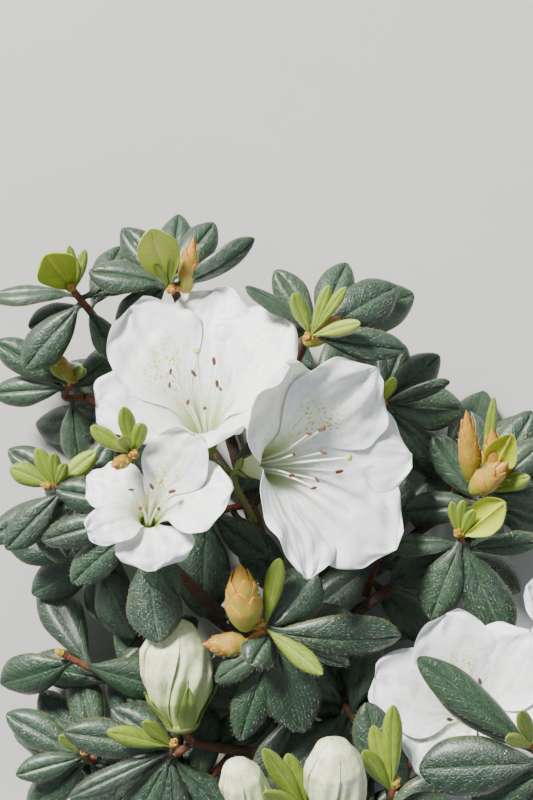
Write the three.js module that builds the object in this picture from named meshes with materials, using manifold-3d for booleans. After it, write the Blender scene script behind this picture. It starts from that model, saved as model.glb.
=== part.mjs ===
// A cut flowering branch of a white evergreen azalea, lying face up on a level surface.
// Millimetres. +X runs across the branch, +Y from its cut end to its top, +Z up from the surface.
// Places in the tables are in the layout's frame; the whole group is then moved so that the origin
// is the middle of its footprint, on the surface.
import * as THREE from "three";
import Module from "manifold-3d";

const wasm = await Module();
wasm.setup();

// Clear space between neighbouring solids, and the share of it that each one's envelope holds.
const GAP = 0.4;
const PETAL_GAP = 0.6;
const LEAF_THICKNESS = 0.8;
const PETAL_THICKNESS = 0.9;
const STALK_RADIUS = 1.15;
const SURFACE_SIZE = 600;
const GOLDEN_ANGLE = 137.5;

// Foliage that no photograph of the front shows is dealt out from these ranges.
const BACK_LEAF = { length: [29, 38], width: [14, 18], pitch: [-12, 22], curl: [12, 34], roll: 22 };
// Turns that a leaf tries, in degrees of pitch, before it is left out.
const LEAF_LIFTS = [0, 7, -7, 14, -14, 24];
// Shares of the length at which a leaf, a small or back leaf or a bract, and a petal have a row of
// points.
const LEAF_STATIONS = [0, 0.2, 0.5, 0.82, 1];
const BRACT_STATIONS = [0, 0.35, 0.72, 1];
const PETAL_STATIONS = [0.02, 0.2, 0.38, 0.54, 0.7, 0.85, 0.95, 1];
const SMALL_LEAF = 20;
// Places along a shoot's stem of its uppermost leaf and its new leaves, and the span of the whorl.
const TOP_LEAF = 0.9;
const NEW_LEAF = 0.95;
const LEAF_SPAN = 0.6;
// Volume in cubic millimetres by which a leaf may cross its own shoot.
const SLIGHT_CROSSING = 2.2;
const SEPALS = 4;
// Radius along a bud, as pairs of shares of its length and of its greatest radius.
const WHITE_BUD_PROFILE = [[0, 0.4], [0.12, 0.58], [0.28, 0.87], [0.5, 1], [0.74, 0.92], [0.92, 0.54], [1, 0]];
const SCALED_BUD_PROFILE = [[0, 0.45], [0.32, 1], [0.68, 0.74], [1, 0]];
// How far short edges may move when a finished solid is tidied.
const TIDY = 0.25;
const PETAL_TIDY = 0.12;
const TIDY_SHARES = [1, 0.85, 0.7, 0.55, 0.4, 0.2];
const MERGED = 0.001;

const COLOURS = {
  bark: { color: 0x6b4632, roughness: 0.85, metalness: 0 },
  leaf: { color: 0x2f4a33, roughness: 0.45, metalness: 0 },
  petal: { color: 0xf4f4f1, roughness: 0.6, metalness: 0 },
  whiteBud: { color: 0xdfe3ae, roughness: 0.55, metalness: 0 },
};

// One corolla: its petals' length from the base of the tube, and how its tube opens.
const COROLLA = { length: 57, width: 35, tubeShare: 0.4, baseRadius: 2.1, baseAngle: 13, ruffle: 1.5 };
const STAMEN = { length: 38, radius: 0.42, knob: 0.9, offset: 1.5, spread: 14 };
const PISTIL = { length: 46, radius: 0.5, knob: 1.3, offset: 0 };
const THREAD_FOOT = 1.5;

// Limbs, each with its route and the radii at its two ends.
const FORK = [4, -92, 9];
const CROWN_FORK = [-6, -36, 11];
const LIMBS = [
  { name: "main_stem", route: [[14, -178, 6.2], [11, -140, 6], FORK], radii: [5.6, 4.4] },
  { name: "centre_limb", route: [FORK, [2, -64, 8], CROWN_FORK], radii: [3.4, 2.6] },
  { name: "left_centre_limb", route: [FORK, [-17, -71, 26], [-33, -53, 43]], radii: [2.9, 1.9] },
  { name: "centre_front_limb", route: [FORK, [1, -86, 30], [-2, -79, 47]], radii: [2.6, 1.7] },
  { name: "left_limb", route: [FORK, [-28, -66, 14], [-47, -40, 32], [-54, -29, 45]], radii: [2.7, 1.6] },
  { name: "lower_left_limb", route: [FORK, [-26, -102, 9], [-52, -115, 19]], radii: [2.6, 1.6] },
  { name: "bud_limb", route: [[9, -124, 8], [-10, -120, 18], [-25, -116, 26]], radii: [2.3, 1.6] },
  { name: "right_limb", route: [FORK, [34, -70, 20], [60, -49, 37]], radii: [2.6, 1.6] },
  { name: "far_right_limb", route: [[34, -62, 9], [54, -44, 16], [67, -34, 31]], radii: [2.0, 1.5] },
  { name: "lower_right_limb", route: [[10, -132, 8], [50, -142, 12], [88, -143, 32], [96, -128, 64]], radii: [2.9, 1.7] },
  { name: "right_bloom_limb", route: [[50, -95, 8.6], [76, -82, 8], [98, -82, 14]], radii: [2.0, 1.6] },
  { name: "lower_bloom_limb", route: [FORK, [34, -98, 9], [50, -96, 9], [66, -104, 17]], radii: [2.4, 1.6] },
  { name: "front_limb", route: [[12, -152, 8], [20, -156, 36], [20, -147, 62]], radii: [2.6, 1.8] },
  { name: "upper_left_limb", route: [CROWN_FORK, [-34, 2, 12], [-57, 27, 30]], radii: [2.2, 1.5] },
  { name: "top_limb", route: [CROWN_FORK, [-18, 4, 8], [-30, 34, 22], [-31, 38, 38]], radii: [2.2, 1.5] },
  { name: "mid_left_limb", route: [CROWN_FORK, [-34, -14, 9], [-62, 1, 20]], radii: [2.1, 1.5] },
  { name: "top_right_limb", route: [CROWN_FORK, [4, -2, 9], [13, 20, 28], [13, 21, 44]], radii: [2.2, 1.5] },
  { name: "right_mid_limb", route: [CROWN_FORK, [14, -20, 9], [36, -4, 26]], radii: [2.1, 1.5] },
];

/** The outer end of a limb, where what it carries sets out. */
function tipOf(name) {
  return LIMBS.find((limb) => limb.name === name).route.at(-1);
}

// Open blooms: the base of the tube, the way the axis leans from straight up (azimuth and angle),
// and each petal's azimuth, spread from the axis, shares of the full length and width, and how far
// its tip bends back.
const BLOOMS = [
  {
    name: "bloom_upper",
    base: [-19.6, -16, 38],
    lean: [96, 36],
    size: 1,
    petals: [[-50, 44, 0.8, 0.8, 10], [38, 64, 1, 1, 4], [82, 68, 1.02, 0.95, 8], [129, 62, 1.02, 1, -6], [196, 60, 0.95, 0.9, 16]],
    pedicel: [[-18, -21, 29], [-9.8, -26.5, 11.2]],
    stamens: 8,
  },
  {
    name: "bloom_centre",
    base: [-8, -22.2, 44.3],
    lean: [8, 38],
    size: 1.04,
    petals: [[-98, 62, 0.98, 0.72, 12], [-42, 70, 1.04, 1.12, 4], [6, 68, 1, 1.05, 4], [56, 58, 1, 1.02, 6], [116, 60, 0.92, 0.84, -16]],
    pedicel: [[-11, -26, 33], [-3.6, -43, 10.6]],
    stamens: 8,
  },
  {
    name: "bloom_left",
    base: [-38, -40, 60],
    lean: [76, 26],
    size: 0.66,
    petals: [[-82, 96, 0.66, 1.1, 30], [2, 56, 1.08, 1.05, 0], [54, 44, 1.12, 0.95, -8], [150, 104, 0.8, 0.8, 10], [208, 84, 0.82, 0.6, -30]],
    pedicel: [[-37, -46, 52], tipOf("left_centre_limb")],
    stamens: 5,
  },
  {
    name: "bloom_lower_right",
    base: [69, -107, 28],
    lean: [110, 18],
    size: 0.82,
    petals: [[-22, 66, 0.95, 1, 10], [50, 62, 1.02, 1, 4], [104, 62, 1.04, 1, 8], [164, 68, 1.08, 1, 4], [228, 66, 0.9, 0.9, 10]],
    pedicel: [[68.5, -108, 22], tipOf("lower_bloom_limb")],
    stamens: 5,
  },
  {
    name: "bloom_right",
    base: [101, -80, 26],
    lean: [70, 24],
    size: 0.62,
    petals: [[12, 54, 1, 1, 0], [84, 52, 1, 1, 0], [156, 56, 1, 1, 0], [228, 60, 1, 1, 0], [300, 56, 1, 1, 0]],
    pedicel: [[100, -83, 20], tipOf("right_bloom_limb")],
    stamens: 4,
  },
];

// Unopened flower buds: base, azimuth and pitch of the axis, length and width, and the stalk below.
const WHITE_BUDS = [
  { name: "white_bud_left", base: [-28, -108.5, 35], aim: [95, 10], size: [38, 25], stalk: [[-26.5, -113.5, 30], tipOf("bud_limb")] },
  { name: "white_bud_front_left", base: [-1, -133, 76], aim: [112, 28], size: [29, 15], stalk: [[13, -144, 66], tipOf("front_limb")] },
  { name: "white_bud_front", base: [23, -134, 76], aim: [96, 30], size: [37, 20], stalk: [[20.5, -145, 65], tipOf("front_limb")] },
];

// Leafy shoots: where the stem starts on its limb, where its whorl of leaves and its tip are,
// then each leaf by azimuth, pitch, length, width, curl and roll, and its place along the stem where
// that isn't the next one down. New leaves grow from the tip.
// Buds wrapped in bracts are given by base, azimuth and pitch of the axis, length and width.
const SHOOTS = [
  {
    name: "front_shoot",
    stem: [tipOf("front_limb"), [15, -139, 70], [13.5, -129, 77]],
    leaves: [
      [160, 6, 28, 14, 30, 0], [205, 2, 30, 14, 30, 0], [262, -4, 28, 13, 26, 0], [300, -8, 28, 13, 26, 0],
      [186, -10, 28, 13, 26, 0],
    ],
    newLeaves: [[121, 30, 32, 6.5, 4, 0], [108, 26, 25, 6.5, 6, 10], [141, 24, 27, 6, 4, -10]],
  },
  {
    name: "front_right_shoot",
    stem: [tipOf("front_limb"), [34, -138, 66], [40, -122, 70]],
    leaves: [
      [104, 8, 31, 14, 20, 0], [338, 0, 30, 14, 34, 0], [300, -6, 30, 15, 24, 0], [20, -4, 30, 15, 24, 0],
      [250, -8, 28, 13, 26, 0],
    ],
    newLeaves: [[91, 26, 33, 6.5, 2, 0], [106, 22, 25, 6, 4, 0], [122, 30, 20, 6, 4, 0]],
  },
  {
    name: "lower_right_shoot",
    stem: [tipOf("lower_right_limb"), [91, -117, 76], [81, -106, 84]],
    leaves: [
      [140, 8, 47, 12, 14, 14], [147, 20, 42, 12, 16, -12], [185, 2, 40, 20, 20, 0], [212, -10, 30, 15, 24, 0],
      [252, -12, 26, 14, 26, 0], [10, -6, 24, 12, 30, 0], [78, 2, 24, 13, 28, 0], [305, -12, 26, 13, 26, 0],
    ],
    newLeaves: [[112, 44, 20, 5, 4, 0], [150, 50, 17, 4.5, 4, 0]],
  },
  {
    name: "centre_shoot",
    stem: [tipOf("centre_front_limb"), [2.5, -78, 53], [-1, -72.5, 58.5]],
    leaves: [
      [347, 18, 45, 16.5, 46, 26], [50, -4, 25, 18, 16, 0], [236, 44, 13, 12, 30, 0], [334, 4, 27, 10, 16, 44],
      [287, -10, 36, 19, 18, 0], [212, 10, 24, 9, 34, 12], [252, -10, 38, 13, 16, 0], [16, -12, 30, 14, 14, 0],
    ],
    newLeaves: [[78, 14, 24, 6.5, 0, 0], [322, 14, 24, 7, 10, 0]],
    buds: [[[-6.6, -73.2, 57], [95, 30], [25, 13.5]], [[-6, -79.6, 51], [178, 6], [15, 9]]],
  },
  {
    name: "left_centre_shoot",
    stem: [tipOf("left_centre_limb"), [-43, -44, 53], [-45, -31, 58.5], [-43, -18.5, 66], [-41.2, -16.8, 80]],
    leaves: [
      [278, 16, 31, 19, 20, 0, 0.16], [196, 4, 30, 11, 26, 0, 0.4], [222, -6, 28, 13, 20, 0, 0.32],
      [170, 2, 24, 12, 24, 0, 0.48], [306, -16, 24, 12, 20, 0, 0.26],
    ],
    newLeaves: [[98, 34, 18, 5.5, 2, 0], [70, 42, 14, 5, 2, 0], [142, 30, 17, 6, 8, 30], [120, 60, 12, 4.5, 4, 0]],
    buds: [[[-42.6, -18.2, 76], [205, 50], [9, 4.5]]],
  },
  {
    name: "left_shoot",
    stem: [tipOf("left_limb"), [-62, -29, 49], [-69.5, -28, 52]],
    leaves: [
      [201, 13, 42, 12, 28, 14, 0.1], [62, 6, 19, 9, 24, 0, 0.4], [252, -8, 26, 12, 24, 0, 0.3],
      [226, -6, 28, 12, 20, 0, 0.75], [150, -4, 26, 11, 20, 0, 0.6], [284, -8, 24, 11, 20, 0, 0.5],
    ],
    newLeaves: [
      [112, 30, 15, 5.5, 10, 0], [88, 34, 13, 4.5, 6, 0], [62, 38, 11, 4, 4, 0], [40, 26, 18, 6.5, 10, 0],
      [156, 22, 16, 7.5, 20, 0],
    ],
    buds: [[[-65, -27, 52], [70, 24], [8, 4.5]]],
  },
  {
    name: "top_right_shoot",
    stem: [tipOf("top_right_limb"), [16.5, 22, 56], [13.5, 20, 67]],
    leaves: [
      [347, 12, 31, 11, 34, 16], [30, 2, 32, 16, 26, 0], [22, -12, 38, 17, 20, 0], [141, 20, 28, 7.5, 20, 46],
      [124, 0, 25, 11, 22, 0], [66, -10, 27, 13, 20, 0], [170, -12, 24, 11, 20, 0],
    ],
    newLeaves: [[112, 28, 16, 5.5, 2, 0], [70, 20, 18, 4, 2, 0], [54, 20, 20, 4, 2, 0], [14, 28, 18, 5, 2, 0]],
    buds: [[[12.5, 18, 60], [38, 22], [15, 8]]],
  },
  {
    name: "upper_left_shoot",
    stem: [tipOf("upper_left_limb"), [-61, 32.5, 38], [-63.5, 36, 44]],
    leaves: [
      [124, 36, 26, 14, 45, 180], [168, 8, 30, 10, 35, 46], [18, 12, 29, 12, 40, 30], [229, 12, 30, 14, 30, 0],
      [200, -8, 22, 10, 20, 0], [300, -12, 22, 10, 20, 0], [66, -8, 26, 12, 24, 0],
    ],
    newLeaves: [[94, 24, 16, 3.8, 4, 0], [74, 20, 15, 3.8, 4, 0], [84, 42, 11, 3.4, 4, 0]],
  },
  {
    name: "top_shoot",
    stem: [tipOf("top_limb"), [-32, 38, 47], [-31, 36, 55]],
    leaves: [
      [106, 30, 26, 14, 30, 180], [10, 20, 33, 10, 56, 45], [165, 12, 27, 12, 32, 20], [54, -2, 26, 12, 20, 0],
      [130, -8, 26, 12, 20, 0], [215, -14, 24, 11, 16, 0], [84, -12, 26, 12, 20, 0],
    ],
    newLeaves: [[84, 30, 15, 3.8, 2, 0], [122, 46, 10, 3.4, 2, 0]],
    buds: [[[-26.5, 35, 50], [80, 22], [19, 7]]],
  },
  {
    name: "mid_left_shoot",
    stem: [tipOf("mid_left_limb"), [-69, 1, 18], [-66, 6, 25]],
    leaves: [
      [150, 20, 30, 12, 40, 0], [184, 6, 27, 11, 30, 0], [38, -8, 26, 11, 20, 0], [120, -4, 26, 11, 20, 0],
      [232, -4, 26, 12, 24, 0], [276, 0, 24, 12, 24, 0],
    ],
    newLeaves: [[132, 46, 12, 4, 2, 0], [50, 44, 10, 4, 2, 0]],
    buds: [[[-63.7, 6.6, 28], [92, 30], [22, 10.5]], [[-65.5, 6, 26], [118, 20], [13, 5]]],
  },
  {
    name: "right_mid_shoot",
    stem: [tipOf("right_mid_limb"), [38, -2, 36], [38, -1, 43]],
    leaves: [
      [8, 22, 24, 7, 30, 44], [356, 2, 28, 15.5, 20, 0], [316, -8, 30, 13, 26, 0], [40, -8, 28, 13, 20, 0],
      [96, -6, 26, 12, 20, 0], [286, -10, 28, 13, 24, 0], [68, 6, 24, 12, 22, 0],
    ],
    newLeaves: [[66, 34, 11, 4, 2, 0], [110, 40, 11, 4, 2, 0]],
  },
  {
    name: "far_right_shoot",
    stem: [tipOf("far_right_limb"), [72, -34.5, 37], [71.5, -29.5, 43]],
    leaves: [
      [40, 12, 28, 10, 24, 0], [8, 2, 28, 12, 24, 0], [60, -2, 34, 14, 14, 0], [338, -6, 28, 12, 26, 0],
      [186, 8, 27, 12, 40, 0], [124, -8, 28, 12, 20, 0], [92, -8, 32, 13, 14, 0],
    ],
    newLeaves: [[68, 34, 27, 10.5, 14, 170], [86, 20, 33, 4, 2, 0], [74, 20, 34, 4, 2, 0], [20, 40, 18, 6, 10, 0]],
    buds: [[[67.5, -26.5, 42], [97, 26], [26, 8]], [[76, -27, 42], [100, 32], [21, 10]], [[67.5, -30, 46], [44, 36], [18, 9.5]]],
  },
  {
    name: "right_shoot",
    stem: [tipOf("right_limb"), [65, -49.5, 42], [63, -44.5, 48]],
    leaves: [
      [250, 6, 29, 15, 26, 0], [294, 6, 38, 17, 26, 0], [170, 6, 26, 9, 34, 38], [2, 12, 26, 9, 20, 24],
      [206, -12, 28, 13, 20, 0], [326, -10, 28, 13, 20, 0],
    ],
    newLeaves: [[41, 32, 24, 12, 20, 165], [106, 34, 15, 4, 2, 0], [90, 38, 16, 4, 2, 0], [70, 44, 14, 4, 2, 0]],
  },
  {
    name: "bud_shoot",
    stem: [tipOf("bud_limb"), [-32, -120, 29], [-31, -115, 36]],
    leaves: [
      [172, 6, 37, 13.5, 16, 0], [203, 10, 38, 8.5, 20, 10], [243, -2, 36, 14, 20, 0], [274, 2, 34, 13, 16, 0],
      [310, -2, 32, 13, 20, 0], [222, -12, 30, 12, 20, 0], [150, -10, 28, 13, 20, 0],
    ],
    newLeaves: [[163, 26, 24, 7, 10, 0], [134, 34, 16, 5, 4, 0]],
  },
  {
    name: "lower_left_shoot",
    stem: [tipOf("lower_left_limb"), [-60, -123, 20], [-61, -119, 28]],
    leaves: [
      [196, 10, 25, 10, 22, 0], [154, 2, 32, 13, 24, 0], [222, -4, 30, 13, 24, 0], [256, -6, 30, 13, 20, 0],
      [292, -6, 28, 13, 20, 0], [330, -4, 26, 12, 20, 0], [106, -4, 30, 13, 16, 0], [174, -12, 34, 14, 16, 0],
    ],
    newLeaves: [[138, 40, 13, 4.5, 2, 0], [70, 42, 14, 4.5, 2, 0]],
    buds: [[[-62, -117, 26], [132, 20], [25, 9]]],
  },
  {
    name: "under_bloom_shoot",
    stem: [CROWN_FORK, [-18, -38, 21], [-21, -37, 30]],
    leaves: [
      [268, 4, 38, 19, 18, 0], [322, 20, 26, 12, 30, 0], [92, 10, 22, 13, 16, 0], [206, 2, 30, 13, 20, 0],
      [150, -6, 28, 13, 20, 0], [300, -12, 34, 15, 16, 0],
    ],
    newLeaves: [],
  },
];

// Shoots at the back, which carry leaves dealt out by the seeded rule.
const BACK_SHOOTS = [
  { name: "back_shoot_left", stem: [[-44.5, -44.5, 27], [-51, -50, 25], [-60, -56, 28]], count: 9, seed: 11 },
  { name: "back_shoot_far_left", stem: [[-36, -106, 16.5], [-52, -96, 20], [-68, -86, 28]], count: 8, seed: 12 },
  { name: "back_shoot_low", stem: [[-12, -121.4, 16], [-20, -130, 20], [-28, -140, 25]], count: 9, seed: 14 },
  {
    name: "back_shoot_centre", stem: [[4.4, -99, 12.6], [6, -103, 18], [10, -106, 24]], count: 8, seed: 13,
    buds: [[[1.5, -106, 30], [92, 26], [27, 11]]],
  },
  { name: "back_shoot_right", stem: [[34, -67, 17.4], [36, -60, 20], [38, -52, 28]], count: 8, seed: 17 },
  { name: "back_shoot_far_right", stem: [[52, -43, 16.4], [47, -36, 18], [44, -24, 24]], count: 7, seed: 24 },
  { name: "back_shoot_low_left", stem: [[-40, -111, 10], [-52, -126, 12], [-64, -136, 16]], count: 8, seed: 15 },
  { name: "back_shoot_mid_right", stem: [[24, -99, 13], [28, -106, 19], [32, -112, 26]], count: 8, seed: 16 },
  { name: "back_shoot_low_right", stem: [[46, -139, 11], [48, -130, 14], [50, -122, 20]], count: 9, seed: 18 },
  { name: "back_shoot_outer_right", stem: [[60, -40, 22], [64, -30, 19], [62, -18, 22]], count: 8, seed: 31 },
  { name: "back_shoot_inner_right", stem: [[34, -97, 11], [36, -88, 16], [37, -80, 24]], count: 8, seed: 33 },
  { name: "back_shoot_upper_left", stem: [[-34, 1.4, 10], [-44, -4, 10], [-54, -10, 14]], count: 9, seed: 19 },
  { name: "back_shoot_top", stem: [[2.4, -8, 11], [12, -2, 12], [24, 8, 18]], count: 9, seed: 20 },
  { name: "back_shoot_bottom", stem: [[16.6, -146.4, 8.6], [28, -152, 18], [38, -152, 32]], count: 9, seed: 21 },
];

/** A unit vector from an azimuth in the XY plane and a pitch above it, in degrees. */
function heading(azimuth, pitch) {
  const a = THREE.MathUtils.degToRad(azimuth);
  const p = THREE.MathUtils.degToRad(pitch);
  return new THREE.Vector3(Math.cos(a) * Math.cos(p), Math.sin(a) * Math.cos(p), Math.sin(p));
}

function vector(xyz) {
  return new THREE.Vector3(...xyz);
}

/** Repeatable random numbers from 0 to 1 (the mulberry32 rule). */
function randomFrom(seed) {
  let state = seed >>> 0;
  return () => {
    state = (state + 0x6d2b79f5) >>> 0;
    let t = state;
    t = Math.imul(t ^ (t >>> 15), t | 1);
    t ^= t + Math.imul(t ^ (t >>> 7), t | 61);
    return ((t ^ (t >>> 14)) >>> 0) / 4294967296;
  };
}

function between([low, high], share) {
  return low + (high - low) * share;
}

function smoothStep(low, high, x) {
  return THREE.MathUtils.smoothstep(x, low, high);
}

/**
 * Closed solid from rings of points: each ring is joined to the next, and both ends are closed. From
 * the point of each ring given by turnedFrom on, the quads are split along their other diagonal.
 */
function ringSolid(rings, capStart, capEnd, turnedFrom = Infinity) {
  const points = [];
  const faces = [];
  const starts = rings.map((ring) => {
    points.push(...ring);
    return points.length - ring.length;
  });
  for (let i = 1; i < rings.length; i++) {
    const [a, b] = [starts[i - 1], starts[i]];
    const [n, m] = [rings[i - 1].length, rings[i].length];
    for (let k = 0; k < Math.max(n, m); k++) {
      const next = k + 1;
      if (m === 1) faces.push([a + k, a + (next % n), b]);
      else if (n === 1) faces.push([a, b + (next % m), b + k]);
      else if (k >= turnedFrom) {
        faces.push([a + k, a + (next % n), b + k]);
        faces.push([a + (next % n), b + (next % m), b + k]);
      } else {
        faces.push([a + k, a + (next % n), b + (next % m)]);
        faces.push([a + k, b + (next % m), b + k]);
      }
    }
  }
  if (rings[0].length > 1) faces.push(...capStart.map((f) => f.map((k) => k + starts[0])));
  const last = rings.length - 1;
  if (rings[last].length > 1) faces.push(...capEnd.map((f) => f.map((k) => k + starts[last])));
  return solidOf(points, faces);
}

/** A manifold solid from points and triangles, turned face outwards if need be. */
function solidOf(points, faces) {
  const vertProperties = new Float32Array(points.flatMap((p) => [p.x, p.y, p.z]));
  const make = (list) => new wasm.Manifold(new wasm.Mesh({
    numProp: 3,
    vertProperties,
    triVerts: new Uint32Array(list.flat()),
  }));
  const solid = make(faces);
  return solid.volume() > 0 ? solid : make(faces.map(([a, b, c]) => [a, c, b]));
}

/** The largest separate body of a solid, with any sealed hollow filled and scraps dropped. */
function largestBody(solid) {
  const bodies = solid.decompose().filter((body) => body.volume() > 0);
  if (bodies.length === 0) return solid;
  return bodies.reduce((best, body) => (body.volume() > best.volume() ? body : best));
}

/** Fan of triangles that closes a ring of n points. */
function fan(n, turned) {
  const faces = [];
  for (let k = 1; k < n - 1; k++) faces.push(turned ? [0, k, k + 1] : [0, k + 1, k]);
  return faces;
}

/** Strip of triangles that closes a flat ring: its upper points come first, then the lower ones. */
function strip(across, turned, blunt) {
  const faces = [];
  const last = across - 1;
  const under = (k) => {
    if (blunt) return 2 * across - 1 - k;
    return k === 0 || k === last ? k : 2 * last - k;
  };
  for (let k = 0; k < last; k++) {
    const quad = [k, k + 1, under(k + 1), under(k)];
    for (const face of [[quad[0], quad[1], quad[2]], [quad[0], quad[2], quad[3]]])
      if (new Set(face).size === 3) faces.push(turned ? face : [face[0], face[2], face[1]]);
  }
  return faces;
}

/** A round limb that follows a smooth route and tapers, with flat ends. */
function limbSolid(route, [startRadius, endRadius], { sides = 6, steps = 5, grow = 0 } = {}) {
  const curve = new THREE.CatmullRomCurve3(route.map(vector));
  const frames = curve.computeFrenetFrames(steps, false);
  const rings = [];
  for (let i = 0; i <= steps; i++) {
    const centre = curve.getPointAt(i / steps);
    if (i === 0) centre.addScaledVector(frames.tangents[0], -grow);
    if (i === steps) centre.addScaledVector(frames.tangents[steps], grow);
    const radius = startRadius + (endRadius - startRadius) * (i / steps) + grow;
    const ring = [];
    for (let k = 0; k < sides; k++) {
      const a = (2 * Math.PI * k) / sides;
      ring.push(centre.clone()
        .addScaledVector(frames.normals[i], radius * Math.cos(a))
        .addScaledVector(frames.binormals[i], radius * Math.sin(a)));
    }
    rings.push(ring);
  }
  return ringSolid(rings, fan(sides, false), fan(sides, true));
}

/**
 * A thin sheet: surface(u, v) gives a point and its normal, with v from -1 to 1. Its margins and tip
 * are sharp, and blunt where it is grown into an envelope.
 */
function sheetSolid(surface, stations, across, thickness, grow) {
  const blunt = grow > 0;
  const rings = stations.map((u, i) => {
    if (!blunt && i === stations.length - 1) return [surface(u, 0).point];
    const upper = [];
    const lower = [];
    for (let k = 0; k < across; k++) {
      const { point, normal } = surface(u, -1 + (2 * k) / (across - 1));
      const inner = k > 0 && k < across - 1;
      const half = inner ? thickness / 2 + grow : grow;
      upper.push(point.clone().addScaledVector(normal, half));
      if (inner || blunt) lower.unshift(point.clone().addScaledVector(normal, -half));
    }
    return [...upper, ...lower];
  });
  return ringSolid(rings, strip(across, false, blunt), strip(across, true, blunt), across - 1);
}

/** The outline of an azalea leaf: its half width along its length, as a share of the greatest. */
function leafOutline(u) {
  const blade = Math.max(0, (u - 0.08) / 0.92);
  return Math.max(u < 0.5 ? 0.1 : 0, Math.sin(Math.PI * Math.pow(blade, 1.35)) ** 0.72);
}

/** The curved face of a leaf as a function of its length u and breadth v. */
function leafSurface(root, { azimuth, pitch, length, width, curl, roll }, grow = 0) {
  const along = heading(azimuth, pitch);
  const up = new THREE.Vector3(0, 0, 1);
  const face = up.addScaledVector(along, -up.dot(along)).normalize()
    .applyAxisAngle(along, THREE.MathUtils.degToRad(roll));
  const side = new THREE.Vector3().crossVectors(face, along);
  const bend = THREE.MathUtils.degToRad(curl) + 1e-6;
  const reach = length + grow;
  return (u, v) => {
    const turn = bend * u;
    const point = root.clone()
      .addScaledVector(along, (reach * Math.sin(turn)) / bend)
      .addScaledVector(face, (reach * (Math.cos(turn) - 1)) / bend);
    const normal = face.clone().multiplyScalar(Math.cos(turn)).addScaledVector(along, Math.sin(turn));
    const half = (width / 2) * leafOutline(u) + grow;
    point.addScaledVector(side, v * half * 0.97).addScaledVector(normal, -0.22 * half * v * v);
    return { point, normal };
  };
}

/** A leaf as a solid, rooted at a point of its stem. */
function leafSolid(root, leaf, grow = 0) {
  const stations = leaf.length < SMALL_LEAF || leaf.plain ? BRACT_STATIONS : LEAF_STATIONS;
  return sheetSolid(leafSurface(root, leaf, grow), stations, 3, LEAF_THICKNESS, grow);
}

/** Axes of a bloom or bud: its own axis, and the two across it, the first turned towards +X. */
function axesOf(axis) {
  const right = new THREE.Vector3(1, 0, 0);
  right.addScaledVector(axis, -right.dot(axis)).normalize();
  return [axis, right, new THREE.Vector3().crossVectors(axis, right)];
}

/** Even azimuths of the five parts of a tube, as near as can be to those of the lobes. */
function tubeAzimuths(petals) {
  const step = 360 / petals.length;
  const offset = petals.reduce((sum, [azimuth], i) => sum + azimuth - step * i, 0) / petals.length;
  return petals.map((_, i) => offset + step * i);
}

/** The face of one petal: u runs from the base of the tube to the lobe's tip, v across. */
function petalSurface(bloom, index, grow = 0) {
  const [azimuth, spread, share, broad, tip] = bloom.petals[index];
  const tubeAzimuth = tubeAzimuths(bloom.petals)[index];
  const [axis, right, top] = axesOf(heading(bloom.lean[0], 90 - bloom.lean[1]));
  const length = COROLLA.length * bloom.size * share + grow;
  const widest = (COROLLA.width * bloom.size * broad) / 2;
  const steps = 40;
  const rows = [];
  let radius = COROLLA.baseRadius;
  let height = 0;
  for (let i = 0; i <= steps; i++) {
    const u = i / steps;
    const angle = COROLLA.baseAngle + (spread - COROLLA.baseAngle) * smoothStep(0.12, 0.78, u)
      + tip * smoothStep(0.7, 1, u);
    const turn = THREE.MathUtils.degToRad(angle);
    rows.push({ radius, height, turn });
    radius += (Math.sin(turn) * length) / steps;
    height += (Math.cos(turn) * length) / steps;
  }
  return (u, v) => {
    const at = Math.min(u * steps, steps - 1e-6);
    const [low, high, mix] = [rows[Math.floor(at)], rows[Math.floor(at) + 1], at % 1];
    const r = low.radius + (high.radius - low.radius) * mix;
    const h = low.height + (high.height - low.height) * mix;
    const turn = low.turn + (high.turn - low.turn) * mix;
    const swing = tubeAzimuth + (azimuth - tubeAzimuth) * smoothStep(0.25, 0.8, u);
    const a = THREE.MathUtils.degToRad(swing);
    const outward = right.clone().multiplyScalar(Math.cos(a)).addScaledVector(top, Math.sin(a));
    const side = new THREE.Vector3().crossVectors(axis, outward);
    const lobe = Math.max(0, (u - COROLLA.tubeShare) / (1 - COROLLA.tubeShare));
    const tubeHalf = (Math.PI / bloom.petals.length) * r * 1.06;
    const blade = lobe < 0.45 ? 1 : Math.sqrt(Math.max(0, 1 - ((lobe - 0.45) / 0.55) ** 2));
    const half = tubeHalf + (widest * blade - tubeHalf) * smoothStep(0, 0.45, lobe) + grow;
    const bendAcross = (1 / r) * (1 - smoothStep(0.3, 0.75, u)) + 0.012 * smoothStep(0.3, 0.75, u);
    const tilt = bendAcross * v * half;
    const normal = outward.clone().multiplyScalar(-Math.cos(turn)).addScaledVector(axis, Math.sin(turn));
    const ruffle = COROLLA.ruffle * bloom.size * v * v * smoothStep(0.1, 0.8, lobe);
    const point = vector(bloom.base)
      .addScaledVector(outward, r)
      .addScaledVector(axis, h)
      .addScaledVector(side, Math.sin(tilt) / bendAcross)
      .addScaledVector(normal, (1 - Math.cos(tilt)) / bendAcross + ruffle * Math.sin(9 * u + 2.6 * v + azimuth));
    normal.multiplyScalar(Math.cos(tilt)).addScaledVector(side, -Math.sin(tilt));
    return { point, normal };
  };
}

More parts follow.
